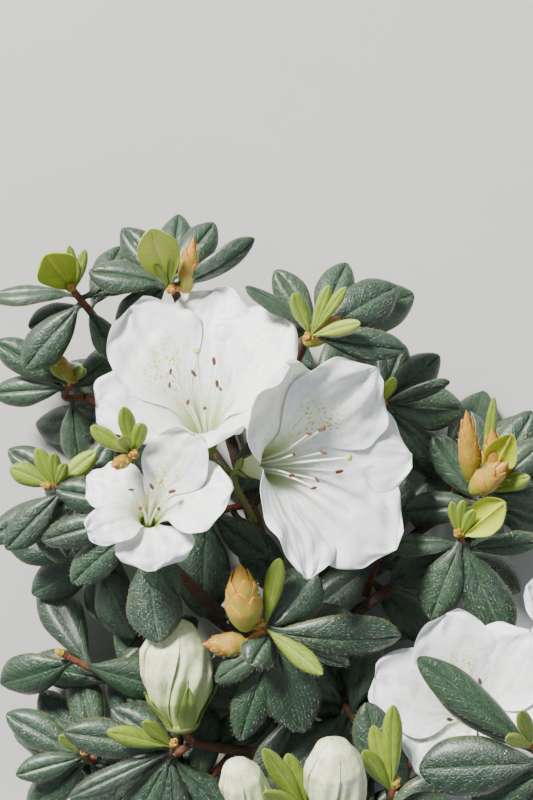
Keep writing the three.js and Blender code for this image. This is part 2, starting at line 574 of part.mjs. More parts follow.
/** One stamen or the pistil: a slim arched three-sided rod with a knob at its end. */
function threadSolid(bloom, azimuth, lean, { length, radius, knob, offset }, grow = 0) {
  const [axis, right, top] = axesOf(heading(bloom.lean[0], 90 - bloom.lean[1]));
  const a = THREE.MathUtils.degToRad(azimuth);
  const outward = right.clone().multiplyScalar(Math.cos(a)).addScaledVector(top, Math.sin(a));
  const reach = length * bloom.size;
  const swing = Math.tan(THREE.MathUtils.degToRad(lean));
  const at = (u) => vector(bloom.base)
    .addScaledVector(axis, reach * u + THREAD_FOOT * bloom.size)
    .addScaledVector(outward, offset * bloom.size + reach * swing * u * u);
  const rings = [[0, 1], [0.5, 1], [0.95, 0.8], [0.97, knob / radius]].map(([u, share]) =>
    [0, 1, 2].map((k) => {
      const turn = (2 * Math.PI * k) / 3;
      return at(u)
        .addScaledVector(right, (radius * share + 2 * grow) * Math.cos(turn))
        .addScaledVector(top, (radius * share + 2 * grow) * Math.sin(turn));
    }));
  return ringSolid([...rings, [at(1)]], fan(3, false), fan(3, true));
}

/** A spindle of rings about an axis, whose radius profile(t) is a share of the width. */
function spindleSolid(base, axis, [length, width], profile, { sides = 9, grow = 0, ribs = 0 } = {}) {
  const [, right, top] = axesOf(axis);
  const rings = profile.map(([t, share]) => {
    const centre = vector(base).addScaledVector(axis, t * length + (t - 0.5) * 2 * grow);
    if (share === 0) return [centre];
    const ring = [];
    for (let k = 0; k < sides; k++) {
      const turn = (2 * Math.PI * k) / sides;
      const r = (width / 2) * share * (k % 2 ? 1 - ribs : 1) + grow;
      ring.push(centre.clone()
        .addScaledVector(right, r * Math.cos(turn))
        .addScaledVector(top, r * Math.sin(turn)));
    }
    return ring;
  });
  return ringSolid(rings, fan(sides, false), fan(sides, true));
}

/** An open bloom: petals fused at their tube, a calyx and pedicel, stamens and a pistil. */
function bloomSolid(bloom, grow = 0) {
  const axis = heading(bloom.lean[0], 90 - bloom.lean[1]);
  const parts = bloom.petals.map((_, i) =>
    sheetSolid(petalSurface(bloom, i, grow), PETAL_STATIONS, 4, PETAL_THICKNESS, grow));
  const calyx = [[0, 0.35], [0.35, 0.9], [0.65, 1], [1, 0.72]];
  const foot = vector(bloom.base).addScaledVector(axis, -2.5 * bloom.size);
  parts.push(spindleSolid(foot.toArray(), axis, [6 * bloom.size, 6.4 * bloom.size], calyx, { sides: 8, grow }));
  const route = [vector(bloom.base).addScaledVector(axis, -1).toArray(), ...bloom.pedicel];
  parts.push(limbSolid(route, [1.3, 1.1], { sides: 5, steps: 4, grow }));
  for (let i = 0; i < bloom.stamens; i++) {
    const azimuth = bloom.petals[2][0] + (360 * (i + 0.5)) / bloom.stamens;
    const lean = STAMEN.spread * (0.6 + 0.4 * ((i * 2) % 3) / 2);
    const length = STAMEN.length * (0.86 + 0.07 * (i % 3));
    parts.push(threadSolid(bloom, azimuth, lean, { ...STAMEN, length }, grow));
  }
  parts.push(threadSolid(bloom, bloom.petals[2][0], 7, PISTIL, grow));
  return wasm.Manifold.union(parts);
}

/** A bract that leaves a bud's foot and leans off its axis by the given share. */
function bractOf(axis, turn, lean, [length, width]) {
  const [, right, top] = axesOf(axis);
  const a = THREE.MathUtils.degToRad(turn);
  const way = axis.clone()
    .addScaledVector(right, lean * Math.cos(a))
    .addScaledVector(top, lean * Math.sin(a))
    .normalize();
  return {
    azimuth: THREE.MathUtils.radToDeg(Math.atan2(way.y, way.x)),
    pitch: THREE.MathUtils.radToDeg(Math.asin(way.z)),
    length,
    width,
    curl: 4,
    roll: 0,
  };
}

/** A plump flower bud with folded petals, on its calyx and stalk. */
function whiteBudSolid(bud, grow = 0) {
  const axis = heading(...bud.aim);
  const parts = [spindleSolid(bud.base, axis, bud.size, WHITE_BUD_PROFILE, { sides: 10, grow, ribs: 0.09 })];
  const foot = vector(bud.base).addScaledVector(axis, -1);
  for (let i = 0; i < SEPALS; i++) {
    const bract = bractOf(axis, 45 + (360 * i) / SEPALS, 0.4, [bud.size[0] * 0.4, bud.size[1] * 0.36]);
    parts.push(sheetSolid(leafSurface(foot, bract, grow), BRACT_STATIONS, 3, LEAF_THICKNESS, grow));
  }
  const neck = vector(bud.base).addScaledVector(axis, 2).toArray();
  parts.push(limbSolid([neck, ...bud.stalk], [1.7, 1.2], { sides: 5, steps: 2, grow }));
  return wasm.Manifold.union(parts);
}

/** A pointed bud wrapped in bracts, on a neck from the given point of its stem. */
function scaledBudSolid([base, aim, size], foot, grow = 0) {
  const axis = heading(...aim);
  const bract = bractOf(axis, 20, 0.36, [size[0] * 0.7, size[1] * 0.5]);
  const neck = vector(base).addScaledVector(axis, 1.5).toArray();
  return wasm.Manifold.union([
    spindleSolid(base, axis, size, SCALED_BUD_PROFILE, { sides: 7, grow }),
    sheetSolid(leafSurface(vector(base), bract, grow), BRACT_STATIONS, 3, LEAF_THICKNESS, grow),
    limbSolid([neck, foot.toArray()], [1.4, 1.1], { sides: 5, steps: 1, grow }),
  ]);
}

const branch = new THREE.Group();
branch.name = "azalea_branch";
const surface = [new THREE.Vector3(), new THREE.Vector3(SURFACE_SIZE, 0, 0)];
let occupied = limbSolid(
  [[0, 0, -SURFACE_SIZE], [0, 0, -SURFACE_SIZE / 2], [0, 0, 0.02]],
  [surface[1].x, surface[1].x],
  { sides: 4, steps: 2 },
);

/** Adds a solid to the branch as a named mesh, and keeps its envelope clear for what follows. */
function place(name, solid, envelope, finish) {
  const { numProp, vertProperties, triVerts } = solid.getMesh();
  const position = new Float32Array((vertProperties.length / numProp) * 3);
  for (let i = 0; i < position.length / 3; i++)
    position.set(vertProperties.subarray(i * numProp, i * numProp + 3), i * 3);
  const geometry = new THREE.BufferGeometry()
    .setAttribute("position", new THREE.BufferAttribute(position, 3))
    .setIndex(new THREE.BufferAttribute(new Uint32Array(triVerts), 1));
  geometry.computeVertexNormals();
  const mesh = new THREE.Mesh(geometry, new THREE.MeshStandardMaterial(finish));
  mesh.name = name;
  branch.add(mesh);
  occupied = occupied.add(envelope);
}

/** Whether each edge of a solid joins just two faces, once points that nearly meet are merged. */
function isSound(solid) {
  const { numProp, vertProperties, triVerts } = solid.getMesh();
  const edges = new Map();
  const key = (i) => [0, 1, 2].map((k) => Math.round(vertProperties[i * numProp + k] / MERGED)).join();
  for (let t = 0; t < triVerts.length; t += 3) {
    const corners = [...triVerts.subarray(t, t + 3)].map(key);
    if (new Set(corners).size < 3) continue;
    corners.forEach((corner, k) => {
      const edge = [corner, corners[(k + 1) % 3]].sort().join();
      edges.set(edge, (edges.get(edge) ?? 0) + 1);
    });
  }
  return [...edges.values()].every((count) => count === 2);
}

/**
 * A solid with its short edges merged, cut clear of everything that is already there. It is merged
 * less where that leaves an edge with more than two faces.
 */
function clearOf(solid, tidy = TIDY) {
  const body = largestBody(solid).asOriginal();
  let clear = null;
  for (const share of TIDY_SHARES) {
    const tidied = largestBody(body.simplify(tidy * share));
    clear = tidied.intersect(occupied).isEmpty() ? tidied : largestBody(tidied.subtract(occupied));
    if (isSound(clear)) break;
  }
  return clear;
}

/**
 * Lifts a leaf until it is clear of what is there and hardly crosses the leaves of its own shoot.
 * Gives the lift that crosses them least, or null where none is clear.
 */
function clearLeaf(root, leaf, siblings) {
  let best = null;
  let least = Infinity;
  for (const lift of LEAF_LIFTS) {
    const lifted = { ...leaf, pitch: leaf.pitch + lift };
    const solid = leafSolid(root, lifted);
    if (!solid.intersect(occupied).isEmpty()) continue;
    const crossing = solid.intersect(siblings).volume();
    if (crossing < least) [best, least] = [lifted, crossing];
    if (crossing < SLIGHT_CROSSING) break;
  }
  return best;
}

function leafOf([azimuth, pitch, length, width, curl, roll], plain) {
  return { azimuth, pitch, length, width, curl, roll, plain };
}

/** A leafy shoot: its stem, a whorl of leaves below its tip, and new leaves at the tip. */
function placeShoot(shoot) {
  const curve = new THREE.CatmullRomCurve3(shoot.stem.map(vector));
  const radii = [STALK_RADIUS + 0.25, STALK_RADIUS];
  const parts = [limbSolid(shoot.stem, radii, { sides: 5, steps: 4 }).subtract(occupied)];
  const envelopes = [limbSolid(shoot.stem, radii, { sides: 5, steps: 4, grow: GAP })];
  const step = LEAF_SPAN / Math.max(1, shoot.leaves.length - 1);
  const grown = [
    ...shoot.leaves.map((row, i) => [leafOf(row, shoot.plain), row[6] ?? TOP_LEAF - step * i]),
    ...shoot.newLeaves.map((row) => [leafOf(row, shoot.plain), NEW_LEAF]),
  ];
  let siblings = parts[0];
  for (const bud of shoot.buds ?? []) {
    const foot = curve.getPointAt(0.9);
    const solid = scaledBudSolid(bud, foot);
    if (!solid.intersect(occupied).isEmpty()) continue;
    parts.push(solid);
    envelopes.push(scaledBudSolid(bud, foot, GAP));
  }
  for (const [leaf, share] of grown) {
    const root = curve.getPointAt(share);
    const clear = clearLeaf(root, leaf, siblings);
    if (!clear) continue;
    siblings = siblings.add(leafSolid(root, clear));
    parts.push(leafSolid(root, clear));
    envelopes.push(leafSolid(root, clear, GAP));
  }
  place(shoot.name, clearOf(wasm.Manifold.union(parts)), wasm.Manifold.union(envelopes), COLOURS.leaf);
}

/** The leaves of a back shoot, turned by the golden angle and varied by its seed. */
function backLeaves({ count, seed }) {
  const random = randomFrom(seed);
  return Array.from({ length: count }, (_, i) => [
    seed * 47 + i * GOLDEN_ANGLE,
    between(BACK_LEAF.pitch, random()),
    between(BACK_LEAF.length, random()),
    between(BACK_LEAF.width, random()),
    between(BACK_LEAF.curl, random()),
    between([-BACK_LEAF.roll, BACK_LEAF.roll], random()),
  ]);
}

for (const { name, route, radii } of LIMBS)
  place(name, clearOf(limbSolid(route, radii)), limbSolid(route, radii, { grow: GAP }), COLOURS.bark);
for (const bloom of BLOOMS)
  place(bloom.name, clearOf(bloomSolid(bloom), PETAL_TIDY), bloomSolid(bloom, PETAL_GAP), COLOURS.petal);
for (const bud of WHITE_BUDS)
  place(bud.name, clearOf(whiteBudSolid(bud)), whiteBudSolid(bud, GAP), COLOURS.whiteBud);
for (const shoot of SHOOTS) placeShoot(shoot);
for (const shoot of BACK_SHOOTS)
  placeShoot({ ...shoot, leaves: backLeaves(shoot), newLeaves: [], plain: true });

const footprint = new THREE.Box3().setFromObject(branch);
const middle = footprint.getCenter(new THREE.Vector3());
branch.position.set(-middle.x, -middle.y, -footprint.min.z);

export default branch;
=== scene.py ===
"""Looks of a cut flowering branch of a white evergreen azalea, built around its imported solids.

Sizes are in millimetres in the branch's layout, where the tables place everything. They are moved to
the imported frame, in metres, where a mesh is made.
"""

import logging
import math
from collections.abc import Callable, Iterable
from dataclasses import dataclass, field, replace
from enum import Enum

import bpy
import numpy as np
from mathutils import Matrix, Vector
from mathutils.bvhtree import BVHTree


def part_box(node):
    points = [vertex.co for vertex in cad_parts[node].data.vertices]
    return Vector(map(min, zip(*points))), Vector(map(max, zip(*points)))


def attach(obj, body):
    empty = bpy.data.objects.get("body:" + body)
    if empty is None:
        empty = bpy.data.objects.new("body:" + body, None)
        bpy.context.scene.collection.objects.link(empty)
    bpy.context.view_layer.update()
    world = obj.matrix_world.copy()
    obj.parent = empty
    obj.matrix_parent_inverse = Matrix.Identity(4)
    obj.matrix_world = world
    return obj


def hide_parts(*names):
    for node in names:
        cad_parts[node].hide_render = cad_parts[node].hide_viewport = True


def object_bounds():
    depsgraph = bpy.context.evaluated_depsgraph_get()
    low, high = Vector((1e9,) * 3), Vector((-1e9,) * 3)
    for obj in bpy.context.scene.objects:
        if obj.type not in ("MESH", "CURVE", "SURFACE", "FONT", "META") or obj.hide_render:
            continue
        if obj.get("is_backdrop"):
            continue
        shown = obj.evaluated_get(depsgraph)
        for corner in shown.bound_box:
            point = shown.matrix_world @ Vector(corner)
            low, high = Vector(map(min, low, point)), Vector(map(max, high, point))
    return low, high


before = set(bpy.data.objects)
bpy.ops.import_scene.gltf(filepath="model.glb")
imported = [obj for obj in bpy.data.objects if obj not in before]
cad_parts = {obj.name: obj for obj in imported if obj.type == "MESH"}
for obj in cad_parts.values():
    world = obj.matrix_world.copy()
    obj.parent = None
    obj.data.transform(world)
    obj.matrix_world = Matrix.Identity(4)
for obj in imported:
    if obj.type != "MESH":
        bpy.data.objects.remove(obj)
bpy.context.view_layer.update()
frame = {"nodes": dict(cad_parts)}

LOG = logging.getLogger("azalea_branch")
MM = 0.001
ROOT = "root"
Colour = tuple[float, float, float]
Socket = bpy.types.NodeSocket

# How leaves are dealt out on the shoots at the back: the turn from one leaf to the next and from one seed to
# the next, and the ranges of their pitch, length, width, curl and roll, in the order in which they are drawn.
GOLDEN_ANGLE = 137.5
BACK_TURN = 47
BACK_LEAF = ((-12, 22), (29, 38), (14, 18), (12, 34), (-22, 22))
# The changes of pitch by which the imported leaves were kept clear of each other.
LEAF_LIFTS = (0, 7, -7, 14, -14, 24)
# The rows of corners of a packed leaf, as shares of its length: of long leaves, and of those under a length.
LEAF_ROWS = (0.2, 0.5, 0.82, 1)
BRACT_ROWS = (0.35, 0.72, 1)
SMALL_LEAF = 20
LEAF_THICKNESS = 0.8
# Shares of the stem: where the top leaf and the new leaves grow, and how much of it the leaves take up.
TOP_LEAF = 0.9
NEW_LEAF = 0.95
LEAF_SPAN = 0.6
# How far, in millimetres, a leaf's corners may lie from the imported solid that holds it.
LEAF_MATCH = 0.5
# A leaf's outline: its stalk and blade as shares of its length, and how its blade leans and rounds.
LEAF_STALK = 0.08
LEAF_BLADE = 0.92
LEAF_STALK_WIDTH = 0.1
LEAF_LEAN = 1.35
LEAF_BLUNTNESS = 0.72
# A leaf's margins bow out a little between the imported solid's corners: under 1 is fuller.
LEAF_FULLNESS = 0.8
# Pairs of side veins on a leaf, and how they are set along it and slanted.
VEIN_PAIRS = 7
VEIN_SPREAD = 1.15
VEIN_SLANT = 0.3

# The radius of a shoot's stem at its tip.
STALK_RADIUS = 1.15
# The step between the starts of the draws of one rod and the next.
SEED_STEP = 7

# Buds: their half width, as a share of the greatest, at shares of their length.
WHITE_BUD_PROFILE = ((0, 0.4), (0.12, 0.58), (0.28, 0.87), (0.5, 1), (0.74, 0.92), (0.92, 0.54), (1, 0.05))
SCALED_BUD_PROFILE = ((0, 0.45), (0.16, 0.82), (0.34, 1), (0.68, 0.72), (0.9, 0.3), (1, 0.05))

# The least square of the half width at the tip of a scale or lobe, so that its tip isn't a single point.
LEAST = 0.0004

# Finishes: the height of their relief in metres, how much finer it is than their mottling, how much their
# roughness varies, how rough their coat is, and how far light spreads in them in metres, with its tint.
RELIEF = 0.0004
RELIEF_FINENESS = 5
ROUGH_RANGE = 0.16
COAT_ROUGHNESS = 0.35
SCATTER_REACH = 0.0012
SCATTER_TINT = (1.0, 0.9, 0.5)


class Slot(Enum):
    """The material slots of the record."""

    BARK = "bark"
    FOLIAGE = "foliage"
    PETAL = "petal"
    FLOWER_BUD = "flower_bud"


class LeafKind(Enum):
    """The kinds of leaf."""

    BACK = (17, 9), (0, 1), "leaves_back"
    # A leaf turned over past a quarter turn takes the painted backlight finish on both sides and goes in the
    # new leaves' piece.
    TURNED_BACKLIT = (26, 13), (2, 2), "new_leaves"
    FRESH = (22, 9), (0, 1), "new_leaves"
    FRONT = (28, 15), (0, 1), "leaves_front"

    def __init__(self, grid: tuple[int, int], sides: tuple[int, int], piece: str) -> None:
        """Keeps its points along and across, the finishes of its two sides, and the piece that holds it."""
        self.grid, self.sides, self.piece = grid, sides, piece


@dataclass(frozen=True)
class Limb:
    """A woody limb: the points that it follows and the radii at its two ends."""

    name: str
    route: tuple
    radii: tuple[float, float]


@dataclass(frozen=True)
class BloomLayout:
    """An open bloom: the base of its tube, the lean of its axis and the five petals."""

    name: str
    base: tuple[float, float, float]
    lean: tuple[float, float]
    size: float
    petals: tuple
    pedicel: tuple
    stamens: int
    dorsal: int = 2


@dataclass(frozen=True)
class WhiteBudLayout:
    """A plump flower bud: its base, the way it points, its size and the stalk below."""

    name: str
    base: tuple[float, float, float]
    aim: tuple[float, float]
    size: tuple[float, float]
    stalk: tuple


@dataclass(frozen=True)
class Shoot:
    """A leafy shoot: its stem, the rows of its leaves, its new leaves and its scaled buds."""

    name: str
    stem: tuple
    leaves: tuple = ()
    new_leaves: tuple = ()
    buds: tuple = ()
    count: int = 0
    seed: int = 0


FORK = (4, -92, 9)
CROWN_FORK = (-6, -36, 11)

LIMBS = (
    Limb("main_stem", ((14, -178, 6.2), (11, -140, 6), FORK), (5.6, 4.4)),
    Limb("centre_limb", (FORK, (2, -64, 8), CROWN_FORK), (3.4, 2.6)),
    Limb("left_centre_limb", (FORK, (-17, -71, 26), (-33, -53, 43)), (2.9, 1.9)),
    Limb("centre_front_limb", (FORK, (1, -86, 30), (-2, -79, 47)), (2.6, 1.7)),
    Limb("left_limb", (FORK, (-28, -66, 14), (-47, -40, 32), (-54, -29, 45)), (2.7, 1.6)),
    Limb("lower_left_limb", (FORK, (-26, -102, 9), (-52, -115, 19)), (2.6, 1.6)),
    Limb("bud_limb", ((9, -124, 8), (-10, -120, 18), (-25, -116, 26)), (2.3, 1.6)),
    Limb("right_limb", (FORK, (34, -70, 20), (60, -49, 37)), (2.6, 1.6)),
    Limb("far_right_limb", ((34, -62, 9), (54, -44, 16), (67, -34, 31)), (2, 1.5)),
    Limb("lower_right_limb", ((10, -132, 8), (50, -142, 12), (88, -143, 32), (96, -128, 64)), (2.9, 1.7)),
    Limb("right_bloom_limb", ((50, -95, 8.6), (76, -82, 8), (98, -82, 14)), (2, 1.6)),
    Limb("lower_bloom_limb", (FORK, (34, -98, 9), (50, -96, 9), (66, -104, 17)), (2.4, 1.6)),
    Limb("front_limb", ((12, -152, 8), (20, -156, 36), (20, -147, 62)), (2.6, 1.8)),
    Limb("upper_left_limb", (CROWN_FORK, (-34, 2, 12), (-57, 27, 30)), (2.2, 1.5)),
    Limb("top_limb", (CROWN_FORK, (-18, 4, 8), (-30, 34, 22), (-31, 38, 38)), (2.2, 1.5)),
    Limb("mid_left_limb", (CROWN_FORK, (-34, -14, 9), (-62, 1, 20)), (2.1, 1.5)),
    Limb("top_right_limb", (CROWN_FORK, (4, -2, 9), (13, 20, 28), (13, 21, 44)), (2.2, 1.5)),
    Limb("right_mid_limb", (CROWN_FORK, (14, -20, 9), (36, -4, 26)), (2.1, 1.5)),
)


def tip_of(name: str) -> tuple:
    """The outer end of a limb, where what it carries sets out."""
    return next(limb.route[-1] for limb in LIMBS if limb.name == name)


BLOOMS = (
    BloomLayout("bloom_upper", (-19.6, -16, 38), (96, 36), 1, ((-50, 44, 0.8, 0.8, 10),
                (38, 64, 1, 1, 4), (82, 68, 1.02, 0.95, 8), (129, 62, 1.02, 1, -6),
                (196, 60, 0.95, 0.9, 16)), ((-18, -21, 29), (-9.8, -26.5, 11.2)), 8, 3),
    BloomLayout("bloom_centre", (-8, -22.2, 44.3), (8, 38), 1.04, ((-98, 62, 0.98, 0.72, 12),
                (-42, 70, 1.04, 1.12, 4), (6, 68, 1, 1.05, 4), (56, 58, 1, 1.02, 6),
                (116, 60, 0.92, 0.84, -16)), ((-11, -26, 33), (-3.6, -43, 10.6)), 8, 3),
    BloomLayout("bloom_left", (-38, -40, 60), (76, 26), 0.66, ((-82, 96, 0.66, 1.1, 30),
                (2, 56, 1.08, 1.05, 0), (54, 44, 1.12, 0.95, -8), (150, 104, 0.8, 0.8, 10),
                (208, 84, 0.82, 0.6, -30)), ((-37, -46, 52), tip_of("left_centre_limb")), 5, 2),
    BloomLayout("bloom_lower_right", (69, -107, 28), (110, 18), 0.82, ((-22, 66, 0.95, 1, 10),
                (50, 62, 1.02, 1, 4), (104, 62, 1.04, 1, 8), (164, 68, 1.08, 1, 4),
                (228, 66, 0.9, 0.9, 10)), ((68.5, -108, 22), tip_of("lower_bloom_limb")), 5, 2),
    BloomLayout("bloom_right", (101, -80, 26), (70, 24), 0.62, ((12, 54, 1, 1, 0), (84, 52, 1, 1, 0),
                (156, 56, 1, 1, 0), (228, 60, 1, 1, 0), (300, 56, 1, 1, 0)), ((100, -83, 20),
                tip_of("right_bloom_limb")), 4, 1),
)
WHITE_BUDS = (
    WhiteBudLayout("white_bud_left", (-28, -108.5, 35), (95, 10), (38, 25), ((-26.5, -113.5, 30),
                   tip_of("bud_limb"))),
    WhiteBudLayout("white_bud_front_left", (-1, -133, 76), (112, 28), (29, 15), ((13, -144, 66),
                   tip_of("front_limb"))),
    WhiteBudLayout("white_bud_front", (23, -134, 76), (96, 30), (37, 20), ((20.5, -145, 65),
                   tip_of("front_limb"))),
)
SHOOTS = (
    Shoot("front_shoot", (tip_of("front_limb"), (15, -139, 70), (13.5, -129, 77)),
          ((160, 6, 28, 14, 30, 0), (205, 2, 30, 14, 30, 0), (262, -4, 28, 13, 26, 0),
          (300, -8, 28, 13, 26, 0), (186, -10, 28, 13, 26, 0)), ((121, 30, 32, 6.5, 4, 0),
          (108, 26, 25, 6.5, 6, 10), (141, 24, 27, 6, 4, -10))),
    Shoot("front_right_shoot", (tip_of("front_limb"), (34, -138, 66), (40, -122, 70)),
          ((104, 8, 31, 14, 20, 0), (338, 0, 30, 14, 34, 0), (300, -6, 30, 15, 24, 0),
          (20, -4, 30, 15, 24, 0), (250, -8, 28, 13, 26, 0)), ((91, 26, 33, 6.5, 2, 0),
          (106, 22, 25, 6, 4, 0), (122, 30, 20, 6, 4, 0))),
    Shoot("lower_right_shoot", (tip_of("lower_right_limb"), (91, -117, 76), (81, -106, 84)),
          ((140, 8, 47, 12, 14, 14), (147, 20, 42, 12, 16, -12), (185, 2, 40, 20, 20, 0),
          (212, -10, 30, 15, 24, 0), (252, -12, 26, 14, 26, 0), (10, -6, 24, 12, 30, 0),
          (78, 2, 24, 13, 28, 0), (305, -12, 26, 13, 26, 0)), ((112, 44, 20, 5, 4, 0),
          (150, 50, 17, 4.5, 4, 0))),
    Shoot("centre_shoot", (tip_of("centre_front_limb"), (2.5, -78, 53), (-1, -72.5, 58.5)),
          ((347, 18, 45, 16.5, 46, 26), (50, -4, 25, 18, 16, 0), (236, 44, 13, 12, 30, 0),
          (334, 4, 27, 10, 16, 44), (287, -10, 36, 19, 18, 0), (212, 10, 24, 9, 34, 12),
          (252, -10, 38, 13, 16, 0), (16, -12, 30, 14, 14, 0)), ((78, 14, 24, 6.5, 0, 0),
          (322, 14, 24, 7, 10, 0)), (((-6.6, -73.2, 57), (95, 30), (25, 13.5)), ((-6, -79.6, 51),
          (178, 6), (15, 9)))),
    Shoot("left_centre_shoot", (tip_of("left_centre_limb"), (-43, -44, 53), (-45, -31, 58.5),
          (-43, -18.5, 66), (-41.2, -16.8, 80)), ((278, 16, 31, 19, 20, 0, 0.16),
          (196, 4, 30, 11, 26, 0, 0.4), (222, -6, 28, 13, 20, 0, 0.32), (170, 2, 24, 12, 24, 0, 0.48),
          (306, -16, 24, 12, 20, 0, 0.26)), ((98, 34, 18, 5.5, 2, 0), (70, 42, 14, 5, 2, 0),
          (142, 30, 17, 6, 8, 30), (120, 60, 12, 4.5, 4, 0)), (((-42.6, -18.2, 76), (205, 50),
          (9, 4.5)),)),
    Shoot("left_shoot", (tip_of("left_limb"), (-62, -29, 49), (-69.5, -28, 52)),
          ((201, 13, 42, 12, 28, 14, 0.1), (62, 6, 19, 9, 24, 0, 0.4), (252, -8, 26, 12, 24, 0, 0.3),
          (226, -6, 28, 12, 20, 0, 0.75), (150, -4, 26, 11, 20, 0, 0.6), (284, -8, 24, 11, 20, 0, 0.5)),
          ((112, 30, 15, 5.5, 10, 0), (88, 34, 13, 4.5, 6, 0), (62, 38, 11, 4, 4, 0),
          (40, 26, 18, 6.5, 10, 0), (156, 22, 16, 7.5, 20, 0)), (((-65, -27, 52), (70, 24), (8, 4.5)),)),
    Shoot("top_right_shoot", (tip_of("top_right_limb"), (16.5, 22, 56), (13.5, 20, 67)),
          ((347, 12, 31, 11, 34, 16), (30, 2, 32, 16, 26, 0), (22, -12, 38, 17, 20, 0),
          (141, 20, 28, 7.5, 20, 46), (124, 0, 25, 11, 22, 0), (66, -10, 27, 13, 20, 0),
          (170, -12, 24, 11, 20, 0)), ((112, 28, 16, 5.5, 2, 0), (70, 20, 18, 4, 2, 0),
          (54, 20, 20, 4, 2, 0), (14, 28, 18, 5, 2, 0)), (((12.5, 18, 60), (38, 22), (15, 8)),)),
    Shoot("upper_left_shoot", (tip_of("upper_left_limb"), (-61, 32.5, 38), (-63.5, 36, 44)),
          ((124, 36, 26, 14, 45, 180), (168, 8, 30, 10, 35, 46), (18, 12, 29, 12, 40, 30),
          (229, 12, 30, 14, 30, 0), (200, -8, 22, 10, 20, 0), (300, -12, 22, 10, 20, 0),
          (66, -8, 26, 12, 24, 0)), ((94, 24, 16, 3.8, 4, 0), (74, 20, 15, 3.8, 4, 0),
          (84, 42, 11, 3.4, 4, 0))),
    Shoot("top_shoot", (tip_of("top_limb"), (-32, 38, 47), (-31, 36, 55)), ((106, 30, 26, 14, 30, 180),
          (10, 20, 33, 10, 56, 45), (165, 12, 27, 12, 32, 20), (54, -2, 26, 12, 20, 0),
          (130, -8, 26, 12, 20, 0), (215, -14, 24, 11, 16, 0), (84, -12, 26, 12, 20, 0)),
          ((84, 30, 15, 3.8, 2, 0), (122, 46, 10, 3.4, 2, 0)), (((-26.5, 35, 50), (80, 22), (19, 7)),)),
    Shoot("mid_left_shoot", (tip_of("mid_left_limb"), (-69, 1, 18), (-66, 6, 25)),
          ((150, 20, 30, 12, 40, 0), (184, 6, 27, 11, 30, 0), (38, -8, 26, 11, 20, 0),
          (120, -4, 26, 11, 20, 0), (232, -4, 26, 12, 24, 0), (276, 0, 24, 12, 24, 0)),
          ((132, 46, 12, 4, 2, 0), (50, 44, 10, 4, 2, 0)), (((-63.7, 6.6, 28), (92, 30), (22, 10.5)),
          ((-65.5, 6, 26), (118, 20), (13, 5)))),
    Shoot("right_mid_shoot", (tip_of("right_mid_limb"), (38, -2, 36), (38, -1, 43)),
          ((8, 22, 24, 7, 30, 44), (356, 2, 28, 15.5, 20, 0), (316, -8, 30, 13, 26, 0),
          (40, -8, 28, 13, 20, 0), (96, -6, 26, 12, 20, 0), (286, -10, 28, 13, 24, 0),
          (68, 6, 24, 12, 22, 0)), ((66, 34, 11, 4, 2, 0), (110, 40, 11, 4, 2, 0))),
    Shoot("far_right_shoot", (tip_of("far_right_limb"), (72, -34.5, 37), (71.5, -29.5, 43)),
          ((40, 12, 28, 10, 24, 0), (8, 2, 28, 12, 24, 0), (60, -2, 34, 14, 14, 0),
          (338, -6, 28, 12, 26, 0), (186, 8, 27, 12, 40, 0), (124, -8, 28, 12, 20, 0),
          (92, -8, 32, 13, 14, 0)), ((68, 34, 27, 10.5, 14, 170), (86, 20, 33, 4, 2, 0),
          (74, 20, 34, 4, 2, 0), (20, 40, 18, 6, 10, 0)), (((67.5, -26.5, 42), (97, 26), (26, 8)),
          ((76, -27, 42), (100, 32), (21, 10)), ((67.5, -30, 46), (44, 36), (18, 9.5)))),
    Shoot("right_shoot", (tip_of("right_limb"), (65, -49.5, 42), (63, -44.5, 48)),
          ((250, 6, 29, 15, 26, 0), (294, 6, 38, 17, 26, 0), (170, 6, 26, 9, 34, 38),
          (2, 12, 26, 9, 20, 24), (206, -12, 28, 13, 20, 0), (326, -10, 28, 13, 20, 0)),
          ((41, 32, 24, 12, 20, 165), (106, 34, 15, 4, 2, 0), (90, 38, 16, 4, 2, 0),
          (70, 44, 14, 4, 2, 0))),
    Shoot("bud_shoot", (tip_of("bud_limb"), (-32, -120, 29), (-31, -115, 36)),
          ((172, 6, 37, 13.5, 16, 0), (203, 10, 38, 8.5, 20, 10), (243, -2, 36, 14, 20, 0),
          (274, 2, 34, 13, 16, 0), (310, -2, 32, 13, 20, 0), (222, -12, 30, 12, 20, 0),
          (150, -10, 28, 13, 20, 0)), ((163, 26, 24, 7, 10, 0), (134, 34, 16, 5, 4, 0))),
    Shoot("lower_left_shoot", (tip_of("lower_left_limb"), (-60, -123, 20), (-61, -119, 28)),
          ((196, 10, 25, 10, 22, 0), (154, 2, 32, 13, 24, 0), (222, -4, 30, 13, 24, 0),
          (256, -6, 30, 13, 20, 0), (292, -6, 28, 13, 20, 0), (330, -4, 26, 12, 20, 0),
          (106, -4, 30, 13, 16, 0), (174, -12, 34, 14, 16, 0)), ((138, 40, 13, 4.5, 2, 0),
          (70, 42, 14, 4.5, 2, 0)), (((-62, -117, 26), (132, 20), (25, 9)),)),
    Shoot("under_bloom_shoot", (CROWN_FORK, (-18, -38, 21), (-21, -37, 30)), ((268, 4, 38, 19, 18, 0),
          (322, 20, 26, 12, 30, 0), (92, 10, 22, 13, 16, 0), (206, 2, 30, 13, 20, 0),
          (150, -6, 28, 13, 20, 0), (300, -12, 34, 15, 16, 0)), ()),
)
